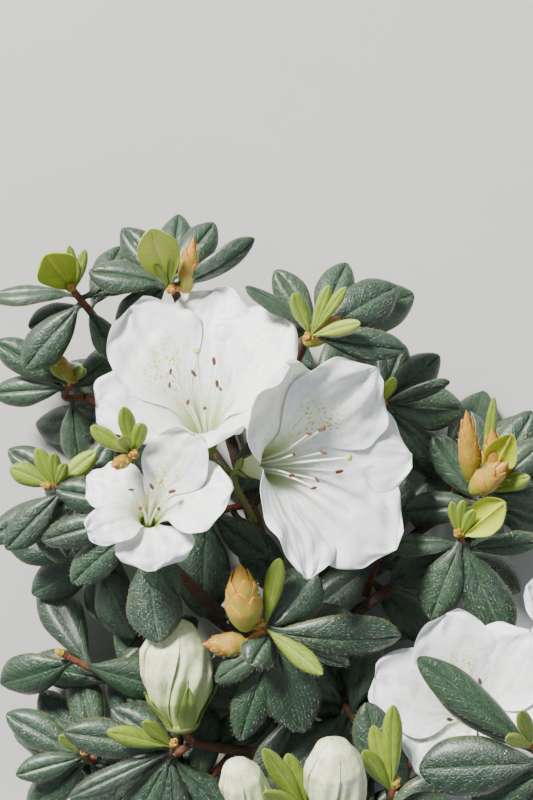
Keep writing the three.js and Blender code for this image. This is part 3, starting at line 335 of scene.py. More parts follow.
BACK_SHOOTS = (
    Shoot("back_shoot_left", ((-44.5, -44.5, 27), (-51, -50, 25), (-60, -56, 28)), count=9, seed=11),
    Shoot("back_shoot_far_left", ((-36, -106, 16.5), (-52, -96, 20), (-68, -86, 28)), count=8, seed=12),
    Shoot("back_shoot_low", ((-12, -121.4, 16), (-20, -130, 20), (-28, -140, 25)), count=9, seed=14),
    Shoot("back_shoot_centre", ((4.4, -99, 12.6), (6, -103, 18), (10, -106, 24)),
          count=8, seed=13, buds=(((1.5, -106, 30), (92, 26), (27, 11)),)),
    Shoot("back_shoot_right", ((34, -67, 17.4), (36, -60, 20), (38, -52, 28)), count=8, seed=17),
    Shoot("back_shoot_far_right", ((52, -43, 16.4), (47, -36, 18), (44, -24, 24)), count=7, seed=24),
    Shoot("back_shoot_low_left", ((-40, -111, 10), (-52, -126, 12), (-64, -136, 16)), count=8, seed=15),
    Shoot("back_shoot_mid_right", ((24, -99, 13), (28, -106, 19), (32, -112, 26)), count=8, seed=16),
    Shoot("back_shoot_low_right", ((46, -139, 11), (48, -130, 14), (50, -122, 20)), count=9, seed=18),
    Shoot("back_shoot_outer_right", ((60, -40, 22), (64, -30, 19), (62, -18, 22)), count=8, seed=31),
    Shoot("back_shoot_inner_right", ((34, -97, 11), (36, -88, 16), (37, -80, 24)), count=8, seed=33),
    Shoot("back_shoot_upper_left", ((-34, 1.4, 10), (-44, -4, 10), (-54, -10, 14)), count=9, seed=19),
    Shoot("back_shoot_top", ((2.4, -8, 11), (12, -2, 12), (24, 8, 18)), count=9, seed=20),
    Shoot("back_shoot_bottom", ((16.6, -146.4, 8.6), (28, -152, 18), (38, -152, 32)), count=9, seed=21),
)
ALL_SHOOTS = SHOOTS + BACK_SHOOTS


def heading(azimuth: float, pitch: float) -> np.ndarray:
    """A unit vector from an azimuth across the branch and a pitch above it, in degrees."""
    a, p = math.radians(azimuth), math.radians(pitch)
    return np.array((math.cos(a) * math.cos(p), math.sin(a) * math.cos(p), math.sin(p)))


def unit(v: np.ndarray) -> np.ndarray:
    """Vectors at unit length, along the last axis."""
    return v / np.maximum(np.linalg.norm(v, axis=-1, keepdims=True), 1e-9)


def smooth_step(low: float, high: float, x: np.ndarray) -> np.ndarray:
    """The smooth rise from 0 to 1 between two values."""
    t = np.clip((np.asarray(x, float) - low) / (high - low), 0, 1)
    return t * t * (3 - 2 * t)


def bump(centre: float, width: float, x: np.ndarray) -> np.ndarray:
    """A rounded hump of height 1 about a value."""
    return np.exp(-(((np.asarray(x, float) - centre) / width) ** 2))


def full_turn(count: int) -> np.ndarray:
    """Even angles round a full turn, in radians."""
    return 2 * np.pi * np.arange(count) / count


def spokes(right: np.ndarray, top: np.ndarray, angle: np.ndarray) -> np.ndarray:
    """Unit vectors at angles from one direction towards another that is square to it."""
    return right * np.cos(angle)[..., None] + top * np.sin(angle)[..., None]


def lattice(u: np.ndarray, v: np.ndarray) -> np.ndarray:
    """Every pair of the values of two rows, as a grid of places."""
    return np.stack(np.meshgrid(u, v, indexing="ij"), -1)


class Axis:
    """A line from a foot, with two directions across it, the first turned towards +X."""

    def __init__(self, foot: Iterable, way: np.ndarray) -> None:
        """Finds the directions across the line.

        Args:
            foot: where the line starts.
            way: the unit vector that it follows.
        """
        self.foot = np.array(foot, float)
        self.way = way
        self.right = unit(np.array((1.0, 0.0, 0.0)) - way * way[0])
        self.top = np.cross(way, self.right)

    @classmethod
    def of_bloom(cls, bloom: BloomLayout) -> "Axis":
        """The line of an open bloom, from the base of its tube."""
        return cls(bloom.base, heading(bloom.lean[0], 90 - bloom.lean[1]))

    def out(self, angle: np.ndarray) -> np.ndarray:
        """Unit vectors away from the line, at angles round it."""
        return spokes(self.right, self.top, angle)

    def about(self, along: np.ndarray, spread: np.ndarray, out: np.ndarray) -> np.ndarray:
        """Points about the line.

        Args:
            along: how far along the line each row is.
            spread: how far from the line each point is.
            out: unit vectors away from the line.

        Returns:
            The points, in rows.
        """
        return self.foot + self.way * along[:, None, None] + out * spread[..., None]


class SourceRandom:
    """The repeatable numbers from 0 to 1 that deal out the back shoots' leaves."""

    MASK = 0xFFFFFFFF
    STEP = 0x6D2B79F5

    def __init__(self, seed: int) -> None:
        """Starts the run of numbers at a seed."""
        self.state = seed & self.MASK

    def __call__(self) -> float:
        """The next number.

        Returns:
            A number from 0 to 1.
        """
        self.state = (self.state + self.STEP) & self.MASK
        t = self.state
        t = ((t ^ (t >> 15)) * (t | 1)) & self.MASK
        t ^= (t + (((t ^ (t >> 7)) * (t | 61)) & self.MASK)) & self.MASK
        return ((t ^ (t >> 14)) & self.MASK) / 2**32


class Grain:
    """Smooth repeatable noise over a place along something and a turn round it."""

    def __init__(self, seed: int, rows: int, columns: int) -> None:
        """Draws the noise's values, where the last column meets the first."""
        self.table = np.random.default_rng(seed).uniform(-1, 1, (rows + 1, columns))

    def __call__(self, along: np.ndarray, turn: np.ndarray) -> np.ndarray:
        """The noise at shares of the length and of a turn.

        Args:
            along: shares of the length.
            turn: shares of a turn.

        Returns:
            The noise at each place, from -1 to 1.
        """
        rows, columns = self.table.shape
        x = np.clip(along, 0, 1) * (rows - 1)
        y = np.mod(turn, 1) * columns
        i, k = np.minimum(x.astype(int), rows - 2), y.astype(int) % columns
        a, b = smooth_step(0, 1, x - i), smooth_step(0, 1, y - np.floor(y))
        after = (k + 1) % columns
        low = self.table[i, k] * (1 - b) + self.table[i, after] * b
        high = self.table[i + 1, k] * (1 - b) + self.table[i + 1, after] * b
        return low * (1 - a) + high * a


class Route:
    """A smooth centripetal curve through points, read by shares of its length."""

    DIVISIONS = 200

    def __init__(self, points: Iterable) -> None:
        """Measures the curve.

        Args:
            points: the points that it passes through, in order.
        """
        self.through = np.array([tuple(p) for p in points], float)
        self.shares = np.linspace(0, 1, self.DIVISIONS + 1)
        line = self._point(self.shares)
        steps = np.linalg.norm(np.diff(line, axis=0), axis=1)
        self.lengths = np.concatenate(([0.0], np.cumsum(steps)))
        self.length = float(self.lengths[-1])

    def _point(self, t: np.ndarray) -> np.ndarray:
        """Points at the curve's own parameter, from 0 to 1.

        Args:
            t: places along the curve, from 0 to 1.

        Returns:
            One point for each place.
        """
        p = self.through
        last = len(p) - 1
        place = last * np.asarray(t, float)
        i = np.clip(np.floor(place).astype(int), 0, last - 1)
        w = (place - i)[:, None]
        padded = np.vstack([2 * p[0] - p[1], p, 2 * p[-1] - p[-2]])
        x0, x1, x2, x3 = (padded[i + k] for k in range(4))

        def span(a: np.ndarray, b: np.ndarray) -> np.ndarray:
            """The centripetal step between two points."""
            return np.maximum(np.sum((a - b) ** 2, 1) ** 0.25, 1e-4)[:, None]

        d0, d1, d2 = span(x0, x1), span(x1, x2), span(x2, x3)
        t1 = ((x1 - x0) / d0 - (x2 - x0) / (d0 + d1) + (x2 - x1) / d1) * d1
        t2 = ((x2 - x1) / d1 - (x3 - x1) / (d1 + d2) + (x3 - x2) / d2) * d1
        c2 = -3 * x1 + 3 * x2 - 2 * t1 - t2
        c3 = 2 * x1 - 2 * x2 + t1 + t2
        return x1 + t1 * w + c2 * w**2 + c3 * w**3

    def at(self, shares: float | np.ndarray) -> np.ndarray:
        """Points at shares of the whole length.

        Args:
            shares: one share, or an array of them.

        Returns:
            One point, or an array of points.
        """
        wanted = np.atleast_1d(shares) * self.length
        points = self._point(np.interp(wanted, self.lengths, self.shares))
        return points[0] if np.isscalar(shares) else points

    def end_way(self) -> np.ndarray:
        """The unit vector that the curve's end follows."""
        return unit(self.at(1.0) - self.at(0.94))

    def frames(self, count: int) -> tuple[np.ndarray, np.ndarray, np.ndarray]:
        """Even points along the curve, and two unit vectors across it at each that don't twist.

        Args:
            count: how many points.

        Returns:
            The points, and the two vectors at each.
        """
        points = self.at(np.linspace(0, 1, count))
        tangents = unit(np.gradient(points, axis=0))
        first = np.cross(tangents[0], (0.0, 0.0, 1.0))
        if np.linalg.norm(first) < 0.05:
            first = np.cross(tangents[0], (0.0, 1.0, 0.0))
        across = [unit(first)]
        for tangent in tangents[1:]:
            across.append(unit(across[-1] - tangent * (across[-1] @ tangent)))
        side = np.array(across)
        return points, side, np.cross(tangents, side)


class Layout:
    """The move from the branch's layout, in millimetres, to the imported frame, in metres."""

    STATIONS = 6
    ROUND = 24

    def __init__(self, nodes: dict) -> None:
        """Finds the move from the boxes of the limbs.

        Args:
            nodes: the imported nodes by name.
        """
        self.nodes = nodes
        self.trees: dict[str, BVHTree] = {}
        moves = []
        for limb in LIMBS:
            points, side, top = Route(limb.route).frames(self.STATIONS)
            radii = np.linspace(*limb.radii, self.STATIONS)[:, None, None]
            mine = points[:, None] + radii * spokes(side[:, None], top[:, None], full_turn(self.ROUND))
            packed = np.mean(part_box(limb.name), 0) / MM
            moves.append(packed - (mine.min((0, 1)) + mine.max((0, 1))) / 2)
        self.shift = np.median(np.array(moves), axis=0)
        LOG.info("layout moves by %s mm", np.round(self.shift, 3))

    def metres(self, points: np.ndarray) -> np.ndarray:
        """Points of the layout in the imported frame, in metres."""
        return (np.asarray(points, float) + self.shift) * MM

    def tree(self, node: str) -> BVHTree:
        """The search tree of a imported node's surface.

        Args:
            node: the node's name.

        Returns:
            The tree, which is built once.
        """
        if node not in self.trees:
            mesh = self.nodes[node].data
            corners = [v.co.copy() for v in mesh.vertices]
            self.trees[node] = BVHTree.FromPolygons(corners, [tuple(p.vertices) for p in mesh.polygons])
        return self.trees[node]

    def offset(self, node: str, points: np.ndarray) -> float:
        """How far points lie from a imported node, in millimetres: the middle one of the distances."""
        tree = self.tree(node)
        return float(np.median([tree.find_nearest(Vector(p))[3] / MM for p in self.metres(points)]))


@dataclass(frozen=True)
class Leaf:
    """A leaf: the way it points, its size, how it curls and rolls, and its place on the stem."""

    azimuth: float
    pitch: float
    length: float
    width: float
    curl: float
    roll: float
    share: float = 0.0
    plain: bool = False
    fresh: bool = False

    @property
    def kind(self) -> LeafKind:
        """What kind of leaf it is.

        Returns:
            One of the named kinds.
        """
        if self.plain:
            return LeafKind.BACK
        if abs(self.roll) > 90:
            return LeafKind.TURNED_BACKLIT
        return LeafKind.FRESH if self.fresh else LeafKind.FRONT


def leaf_outline(u: np.ndarray) -> np.ndarray:
    """Half width along an azalea leaf, as a share of the greatest.

    Args:
        u: shares of its length.

    Returns:
        The half width at each share.
    """
    blade = np.clip((u - LEAF_STALK) / LEAF_BLADE, 0, 1)
    stalk = np.where(u < 0.5, LEAF_STALK_WIDTH, 0)
    return np.maximum(stalk, np.sin(np.pi * blade**LEAF_LEAN).clip(0) ** LEAF_BLUNTNESS)


class LeafShape:
    """The curved face of a leaf on its root."""

    ACROSS = 0.97
    SAG = 0.22

    def __init__(self, root: np.ndarray, leaf: Leaf) -> None:
        """Sets up the leaf's own directions.

        Args:
            root: where the leaf leaves its stem.
            leaf: its layout.
        """
        self.root = root
        self.leaf = leaf
        self.along = heading(leaf.azimuth, leaf.pitch)
        face = unit(np.array((0.0, 0.0, 1.0)) - self.along * self.along[2])
        roll = math.radians(leaf.roll)
        self.face = face * math.cos(roll) + np.cross(self.along, face) * math.sin(roll)
        self.side = np.cross(self.face, self.along)

    def points(self, u: np.ndarray, v: np.ndarray,
               wide: np.ndarray | None = None) -> tuple[np.ndarray, np.ndarray]:
        """Points and normals over the leaf.

        Args:
            u: shares of its length.
            v: places across it, from -1 to 1.
            wide: the half width at each u, or None for the plain outline.

        Returns:
            Arrays of points and of normals, one row for each u.
        """
        bend = math.radians(self.leaf.curl) + 1e-6
        turn = (bend * u)[:, None, None]
        half = (self.leaf.width / 2 * leaf_outline(u) if wide is None else wide)[:, None, None]
        across = np.asarray(v)[None, :, None]
        spine = self.root + self.along * self.leaf.length * np.sin(turn) / bend
        spine = spine + self.face * self.leaf.length * (np.cos(turn) - 1) / bend
        normal = self.face * np.cos(turn) + self.along * np.sin(turn)
        points = spine + self.side * across * half * self.ACROSS - normal * self.SAG * half * across**2
        return points, np.broadcast_to(normal, points.shape)

    def corners(self) -> np.ndarray:
        """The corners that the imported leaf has.

        Returns:
            An array of points.
        """
        short = self.leaf.length < SMALL_LEAF or self.leaf.plain
        rows = np.array(BRACT_ROWS if short else LEAF_ROWS, float)
        points, normals = self.points(rows, np.array((-1.0, 0.0, 1.0)))
        points = points + normals * (LEAF_THICKNESS / 2) * np.array((0, 1, 0))[None, :, None]
        return np.vstack([points[:-1].reshape(-1, 3), points[-1, 1] - normals[-1, 1] * LEAF_THICKNESS / 2])


@dataclass(frozen=True)
class Corolla:
    """What all open blooms share: sizes before each one's own scale, in millimetres, and angles."""

    length: float = 57
    width: float = 35
    tube_share: float = 0.4
    base_radius: float = 2.1
    base_angle: float = 13
    steps: int = 40
    # The bend across an open lobe, and how much the petals of the tube overlap.
    lobe_bend: float = 0.012
    overlap: float = 1.06
    # Where along a lobe it is widest.
    widest_at: float = 0.45
    # Heights of the margin's long waves, its frills, the middle crease, the pleats and the dents.
    ruffle: float = 1.5
    frill: float = 0.8
    crease: float = 0.55
    pleat: float = 0.09
    dent: float = 0.75


COROLLA = Corolla()


class PetalShape:
    """The face of one petal, from the base of the tube to the lobe's tip."""

    def __init__(self, bloom: BloomLayout, index: int) -> None:
        """Works out the petal's profile.

        Args:
            bloom: the bloom that holds it.
            index: which of its petals.
        """
        self.azimuth, spread, share, broad, tip = bloom.petals[index]
        self.count = len(bloom.petals)
        offset = sum(p[0] - 360 / self.count * i for i, p in enumerate(bloom.petals)) / self.count
        self.tube_azimuth = offset + 360 / self.count * index
        self.axis = Axis.of_bloom(bloom)
        self.size = bloom.size
        length = COROLLA.length * bloom.size * share
        self.widest = COROLLA.width * bloom.size * broad / 2
        self.u = np.linspace(0, 1, COROLLA.steps + 1)
        angle = COROLLA.base_angle + (spread - COROLLA.base_angle) * smooth_step(0.12, 0.78, self.u)
        self.turns = np.radians(angle + tip * smooth_step(0.7, 1, self.u))
        step = length / COROLLA.steps
        start = np.array((0.0,))
        self.radii = COROLLA.base_radius + np.concatenate((start, np.cumsum(np.sin(self.turns) * step)[:-1]))
        self.heights = np.concatenate((start, np.cumsum(np.cos(self.turns) * step)[:-1]))

    def points(self, u: np.ndarray, v: np.ndarray) -> tuple[np.ndarray, np.ndarray]:
        """Points and normals over the petal, with the fine waves of its margin.

        Args:
            u: shares of its length.
            v: places across it, from -1 to 1.

        Returns:
            Arrays of points and of normals, one row for each u.
        """
        across = v[None, :, None]
        lobe = np.clip((u - COROLLA.tube_share) / (1 - COROLLA.tube_share), 0, 1)
        blade = self.blade(lobe)
        outer = smooth_step(0.3, 0.7, lobe)
        slant = 6.5 * across[..., 0] * blade[:, None] + 2 * self.azimuth
        reach = u[:, None] * (1 - outer[:, None] * (0.02 + 0.02 * np.sin(slant)))
        rows = (self.radii, self.heights, self.turns)
        r, h, turn = (np.interp(reach, self.u, row)[..., None] for row in rows)
        swing = self.tube_azimuth + (self.azimuth - self.tube_azimuth) * smooth_step(0.25, 0.8, u)
        outward = self.axis.out(np.radians(swing)[:, None])
        side = np.cross(self.axis.way, outward)
        tube_half = np.pi / self.count * r[:, 0, 0] * COROLLA.overlap
        half = tube_half + (self.widest * blade - tube_half) * smooth_step(0, COROLLA.widest_at, lobe)
        half = half[:, None, None] * (1 + self.scallops(u, across) * outer[:, None, None])
        opened = smooth_step(0.3, 0.75, u)[:, None, None]
        bend = (1 / r) * (1 - opened) + COROLLA.lobe_bend * opened
        tilt = bend * across * half
        normal = -outward * np.cos(turn) + self.axis.way * np.sin(turn)
        ruffle = COROLLA.ruffle * self.size * across**2 * smooth_step(0.1, 0.8, lobe)[:, None, None]
        wave = ruffle * np.sin(9 * u[:, None, None] + 2.6 * across + self.azimuth)
        wave = wave + self.size * self.crumple(u, across, lobe, blade)
        rise = (1 - np.cos(tilt)) / bend + wave
        points = self.axis.foot + outward * r + self.axis.way * h + side * np.sin(tilt) / bend + normal * rise
        return points, normal * np.cos(tilt) - side * np.sin(tilt)

    @staticmethod
    def blade(lobe: np.ndarray) -> np.ndarray:
        """Half width along the lobe, as a share of the greatest."""
        past = (lobe - COROLLA.widest_at) / (1 - COROLLA.widest_at)
        return np.where(past < 0, 1, np.sqrt(np.clip(1 - past**2, 0, 1)))

    def scallops(self, u: np.ndarray, across: np.ndarray) -> np.ndarray:
        """How much wider the petal is at each place than its plain outline, uneven on its two sides.

        Args:
            u: shares of its length.
            across: places across it.

        Returns:
            Shares of the half width.
        """
        rows = u[:, None, None] + 0.35 * np.sign(across)
        waves = 0.034 * np.sin(15 * rows + self.azimuth) + 0.016 * np.sin(37 * rows + 2.3 * self.azimuth)
        return waves - 0.012

    def crumple(self, u: np.ndarray, across: np.ndarray, lobe: np.ndarray, blade: np.ndarray) -> np.ndarray:
        """The fine waves of a petal: frills at its margin, pleats from the throat, and soft dents.

        Args:
            u: shares of its length.
            across: places across it.
            lobe: how far out of the tube each row is.
            blade: how wide each row is.

        Returns:
            Heights above the plain petal, before the bloom's scale.
        """
        rows, opened = u[:, None, None], (smooth_step(0.2, 0.7, lobe) * np.sqrt(blade))[:, None, None]
        margin = np.abs(across) ** 3 + smooth_step(0.84, 1, rows)
        frill = np.sin(27 * rows + 7 * across + 2 * self.azimuth)
        frill = frill + 0.8 * np.sin(14 * rows - 9 * across + self.azimuth)
        crease = bump(0, 0.07, across) - 0.5 * bump(0.28, 0.06, np.abs(across))
        fold = smooth_step(0.35, 0.6, rows) * blade[:, None, None]
        pleats = np.cos(24 * across + 1.5 * np.sin(6 * rows + self.azimuth)) * smooth_step(0.15, 0.5, rows)
        size = (len(u), across.size, 1)
        turn = np.broadcast_to(0.25 + 0.45 * (across + 1) / 2, size)
        dents = Grain(int(self.azimuth) % 360 + 7, 11, 12)(np.broadcast_to(rows, size), turn)
        waves = COROLLA.frill * margin * opened * frill - COROLLA.crease * crease * fold
        return waves + COROLLA.pleat * pleats + COROLLA.dent * dents * opened


class MeshMaker:
    """Gathers faces for one piece, with each face's finish and each point's surface values."""

    def __init__(self, name: str) -> None:
        """Starts an empty piece.

        Args:
            name: the piece's name.
        """
        self.name = name
        self.points: list[np.ndarray] = []
        self.values: list[np.ndarray] = []
        self.faces: list[np.ndarray] = []
        self.finishes: list[np.ndarray] = []
        self.count = 0

    def add(self, points: np.ndarray, values: np.ndarray, faces: np.ndarray, finish: int = 0) -> None:
        """Adds points and faces.

        Args:
            points: places in the layout.
            values: for each point its two surface places, its tone and its age.
            faces: corners of each face, as a triangle or a quad.
            finish: the index of the faces' finish.
        """
        self.points.append(points)
        self.values.append(values)
        self.count += len(points)
        self.more_faces(faces, self.count - len(points), finish)

    def more_faces(self, faces: np.ndarray, start: int, finish: int) -> None:
        """Adds faces between points that are there, counted from a start."""
        self.faces.append(np.asarray(faces) + start)
        self.finishes.append(np.full(len(faces), finish))

    @staticmethod
    def values_of(uv: np.ndarray, tone: float, age: float | np.ndarray) -> np.ndarray:
        """Surface values for points that share a tone."""
        flat = uv.reshape(-1, 2)
        return np.column_stack([flat, np.full(len(flat), tone), np.broadcast_to(age, len(flat))])

    @staticmethod
    def quads(rows: int, columns: int, closed: bool = False) -> np.ndarray:
        """The faces of a grid of points.

        Args:
            rows: points along it.
            columns: points across it.
            closed: whether the last column joins the first.

        Returns:
            Four corners for each face.
        """
        i, k = np.meshgrid(np.arange(rows - 1), np.arange(columns if closed else columns - 1), indexing="ij")
        after = (k + 1) % columns
        corners = (i * columns + k, i * columns + after, (i + 1) * columns + after, (i + 1) * columns + k)
        return np.stack(corners, -1).reshape(-1, 4)

    def tube(self, points: np.ndarray, uv: np.ndarray, tone: float, age: np.ndarray, cap: int = 0) -> None:
        """Adds a closed tube from rings of points.

        Args:
            points: one ring in each row.
            uv: the surface places of each point.
            tone: the piece's own shade, from 0 to 1.
            age: how old the surface is at each ring, from 0 to 1.
            cap: the index of the first end's finish.
        """
        rows, columns = points.shape[:2]
        values = self.values_of(uv, tone, np.repeat(age, columns))
        self.add(points.reshape(-1, 3), values, self.quads(rows, columns, closed=True))
        angle = full_turn(columns)
        disc = np.vstack([np.column_stack([np.cos(angle), np.sin(angle)]), (0, 0)])
        fan = np.array([(k, (k + 1) % columns, columns) for k in range(columns)])
        for row, faces, finish in ((0, fan[:, ::-1], cap), (rows - 1, fan, 0)):
            ends = np.vstack([points[row], points[row].mean(0)])
            self.add(ends, self.values_of(disc, tone, age[row]), faces, finish)

    def ovoid(self, centre: np.ndarray, axis: np.ndarray, wide: float, age: float,
              grid: tuple[int, int]) -> None:
        """Adds a closed rounded body.

        Args:
            centre: its middle.
            axis: half of its length, as a vector.
            wide: its radius across.
            age: its age.
            grid: points along it and round it.
        """
        rows, columns = grid
        angle = np.linspace(0.12, np.pi - 0.12, rows)
        turn = full_turn(columns)
        around = Axis(centre, unit(axis)).out(turn)[None] * (wide * np.sin(angle))[:, None, None]
        rings = centre - axis * np.cos(angle)[:, None, None] + around
        uv = lattice(3 * np.linspace(0, 1, rows), turn / (2 * np.pi))[..., ::-1]
        self.tube(rings, uv, 0.5, np.full(rows, age))

    def rod(self, route: Route, turn: np.ndarray, radius: np.ndarray, tone: float, age: np.ndarray,
            length: float, cap: int = 0) -> None:
        """Adds a round rod.

        Args:
            route: what it follows.
            turn: the angles of the points round it.
            radius: its radius at each point, one row for each place along it.
            tone: its own shade, from 0 to 1.
            age: how old its surface is along it.
            length: how far its surface place runs along it.
            cap: the index of the first end's finish.
        """
        count = len(radius)
        points, side, top = route.frames(count)
        rings = points[:, None] + spokes(side[:, None], top[:, None], turn) * radius[..., None]
        uv = lattice(np.linspace(0, 1, count) * length, np.arange(len(turn)) / len(turn))[..., ::-1]
        self.tube(rings, uv, tone, age, cap)

    def shell(self, points: np.ndarray, normals: np.ndarray, thickness: float | np.ndarray, uv: np.ndarray,
              tone: float, age: float = 0.0, finishes: tuple[int, int] = (0, 0)) -> None:
        """Adds a thin closed shell about a sheet.

        Args:
            points: the middle of the sheet, in rows.
            normals: the way its upper side faces.
            thickness: how thick it is, everywhere or at each point.
            uv: the surface places of each point.
            tone: the piece's own shade, from 0 to 1.
            age: how old it is, from 0 to 1.
            finishes: the indices of the upper and the lower side's finish.
        """
        rows, columns = points.shape[:2]
        count = rows * columns
        half = np.broadcast_to(thickness, (rows, columns))[..., None] / 2 * unit(normals)
        values = self.values_of(uv, tone, age)
        quads = self.quads(rows, columns)
        upper = (points + half).reshape(-1, 3)
        lower = (points - half).reshape(-1, 3)
        start = self.count
        self.add(np.vstack([upper, lower]), np.vstack([values, values]), quads[:, ::-1], finishes[0])
        self.more_faces(quads, start + count, finishes[1])
        rim = np.concatenate([np.arange(columns), np.arange(2, rows) * columns - 1,
                              np.arange(count - 1, count - columns - 1, -1),
                              np.arange(rows - 2, 0, -1) * columns])
        after = np.roll(rim, -1)
        self.more_faces(np.column_stack([rim, after, after + count, rim + count]), start, finishes[0])

    def build(self, layout: Layout, finishes: Iterable[bpy.types.Material], sharp: float) -> bpy.types.Object:
        """Makes the piece.

        Args:
            layout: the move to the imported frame.
            finishes: its materials, in the order of their indices.
            sharp: the angle in degrees above which an edge is sharp.

        Returns:
            The new object.
        """
        points = layout.metres(np.vstack(self.points))
        values = np.vstack(self.values)
        mesh = bpy.data.meshes.new(self.name)
        loops = np.concatenate([f.reshape(-1) for f in self.faces])
        sizes = np.concatenate([np.full(len(f), f.shape[1]) for f in self.faces])
        starts = np.concatenate(([0], np.cumsum(sizes)[:-1]))
        indices = np.concatenate(self.finishes)
        mesh.vertices.add(len(points))
        mesh.loops.add(len(loops))
        mesh.polygons.add(len(sizes))
        for items, key, column in ((mesh.vertices, "co", points.astype(np.float32)),
                                   (mesh.loops, "vertex_index", loops.astype(np.int32)),
                                   (mesh.polygons, "loop_start", starts.astype(np.int32)),
                                   (mesh.polygons, "material_index", indices.astype(np.int32)),
                                   (mesh.polygons, "use_smooth", np.ones(len(sizes), bool))):
            items.foreach_set(key, column.ravel())
        for name, column in (("tone", 2), ("age", 3)):
            attribute = mesh.attributes.new(name, "FLOAT", "POINT")
            attribute.data.foreach_set("value", values[:, column].astype(np.float32))
        layer = mesh.uv_layers.new(name="surface")
        layer.uv.foreach_set("vector", values[loops, :2].astype(np.float32).ravel())
        for material in finishes:
            mesh.materials.append(material)
        mesh.update(calc_edges=True)
        mesh.validate()
        mesh.set_sharp_from_angle(angle=math.radians(sharp))
        made = bpy.data.objects.new(self.name, mesh)
        bpy.context.scene.collection.objects.link(made)
        return made


class Graph:
    """Adds and links the nodes of one node tree."""

    def __init__(self, tree: bpy.types.NodeTree) -> None:
        """Keeps the tree."""
        self.tree = tree

    def node(self, kind: str, values: dict | None = None, **settings: object) -> bpy.types.Node:
        """Adds a node.

        Args:
            kind: the node's type, after the word ShaderNode.
            values: for each socket, a plain value or the socket that feeds it.
            settings: the node's own settings.

        Returns:
            The new node.
        """
        made = self.tree.nodes.new(kind if kind.startswith("NodeGroup") else f"ShaderNode{kind}")
        for name, setting in settings.items():
            setattr(made, name, setting)
        for key, value in (values or {}).items():
            if isinstance(value, Socket):
                self.tree.links.new(value, made.inputs[key])
            else:
                made.inputs[key].default_value = value
        return made

    def math(self, operation: str, *values: object, clamp: bool = False) -> Socket:
        """A sum of plain numbers and sockets."""
        return self.node("Math", dict(enumerate(values)), operation=operation, use_clamp=clamp).outputs[0]

    def times(self, first: object, second: object) -> Socket:
        """One value times another."""
        return self.math("MULTIPLY", first, second)

    def fused(self, value: object, factor: object, plus: object) -> Socket:
        """A value times a factor, plus another value."""
        return self.math("MULTIPLY_ADD", value, factor, plus)

    def size(self, value: object) -> Socket:
        """A value without its sign."""
        return self.math("ABSOLUTE", value)

    def ease(self, value: object, low: float, high: float, start: float = 0, end: float = 1) -> Socket:
        """A smooth change between two values of a socket."""
        sockets = {"Value": value, "From Min": low, "From Max": high, "To Min": start, "To Max": end}
        return self.node("MapRange", sockets, interpolation_type="SMOOTHSTEP").outputs[0]

    def fade(self, value: object, low: float, high: float) -> Socket:
        """A smooth fall from 1 to 0 between two values of a socket."""
        return self.ease(value, low, high, 1, 0)

    def mix(self, share: object, first: object, second: object) -> Socket:
        """A mix of two colours."""
        colours = [value if isinstance(value, Socket) else (*value, 1) for value in (first, second)]
        return self.node("Mix", dict(zip((0, 6, 7), (share, *colours))), data_type="RGBA").outputs[2]

    def attribute(self, name: str) -> Socket:
        """A value kept at the piece's points."""
        return self.node("Attribute", attribute_name=name).outputs["Fac"]

    def parts(self, vector: Socket) -> tuple[Socket, Socket]:
        """The first two parts of a vector."""
        return tuple(self.node("SeparateXYZ", {"Vector": vector}).outputs[:2])

    def vector(self, *parts: object) -> Socket:
        """A vector of two or three parts."""
        return self.node("CombineXYZ", dict(enumerate(parts))).outputs[0]

    def noise(self, place: Socket, scale: object, detail: float = 2.0, roughness: float = 0.5) -> Socket:
        """Soft noise over a place."""
        sockets = {"Vector": place, "Scale": scale, "Detail": detail, "Roughness": roughness}
        return self.node("TexNoise", sockets).outputs["Fac"]

    def cells(self, place: Socket, scale: object, feature: str = "F1") -> Socket:
        """Distances in a pattern of cells over a place."""
        return self.node("TexVoronoi", {"Vector": place, "Scale": scale}, feature=feature).outputs["Distance"]


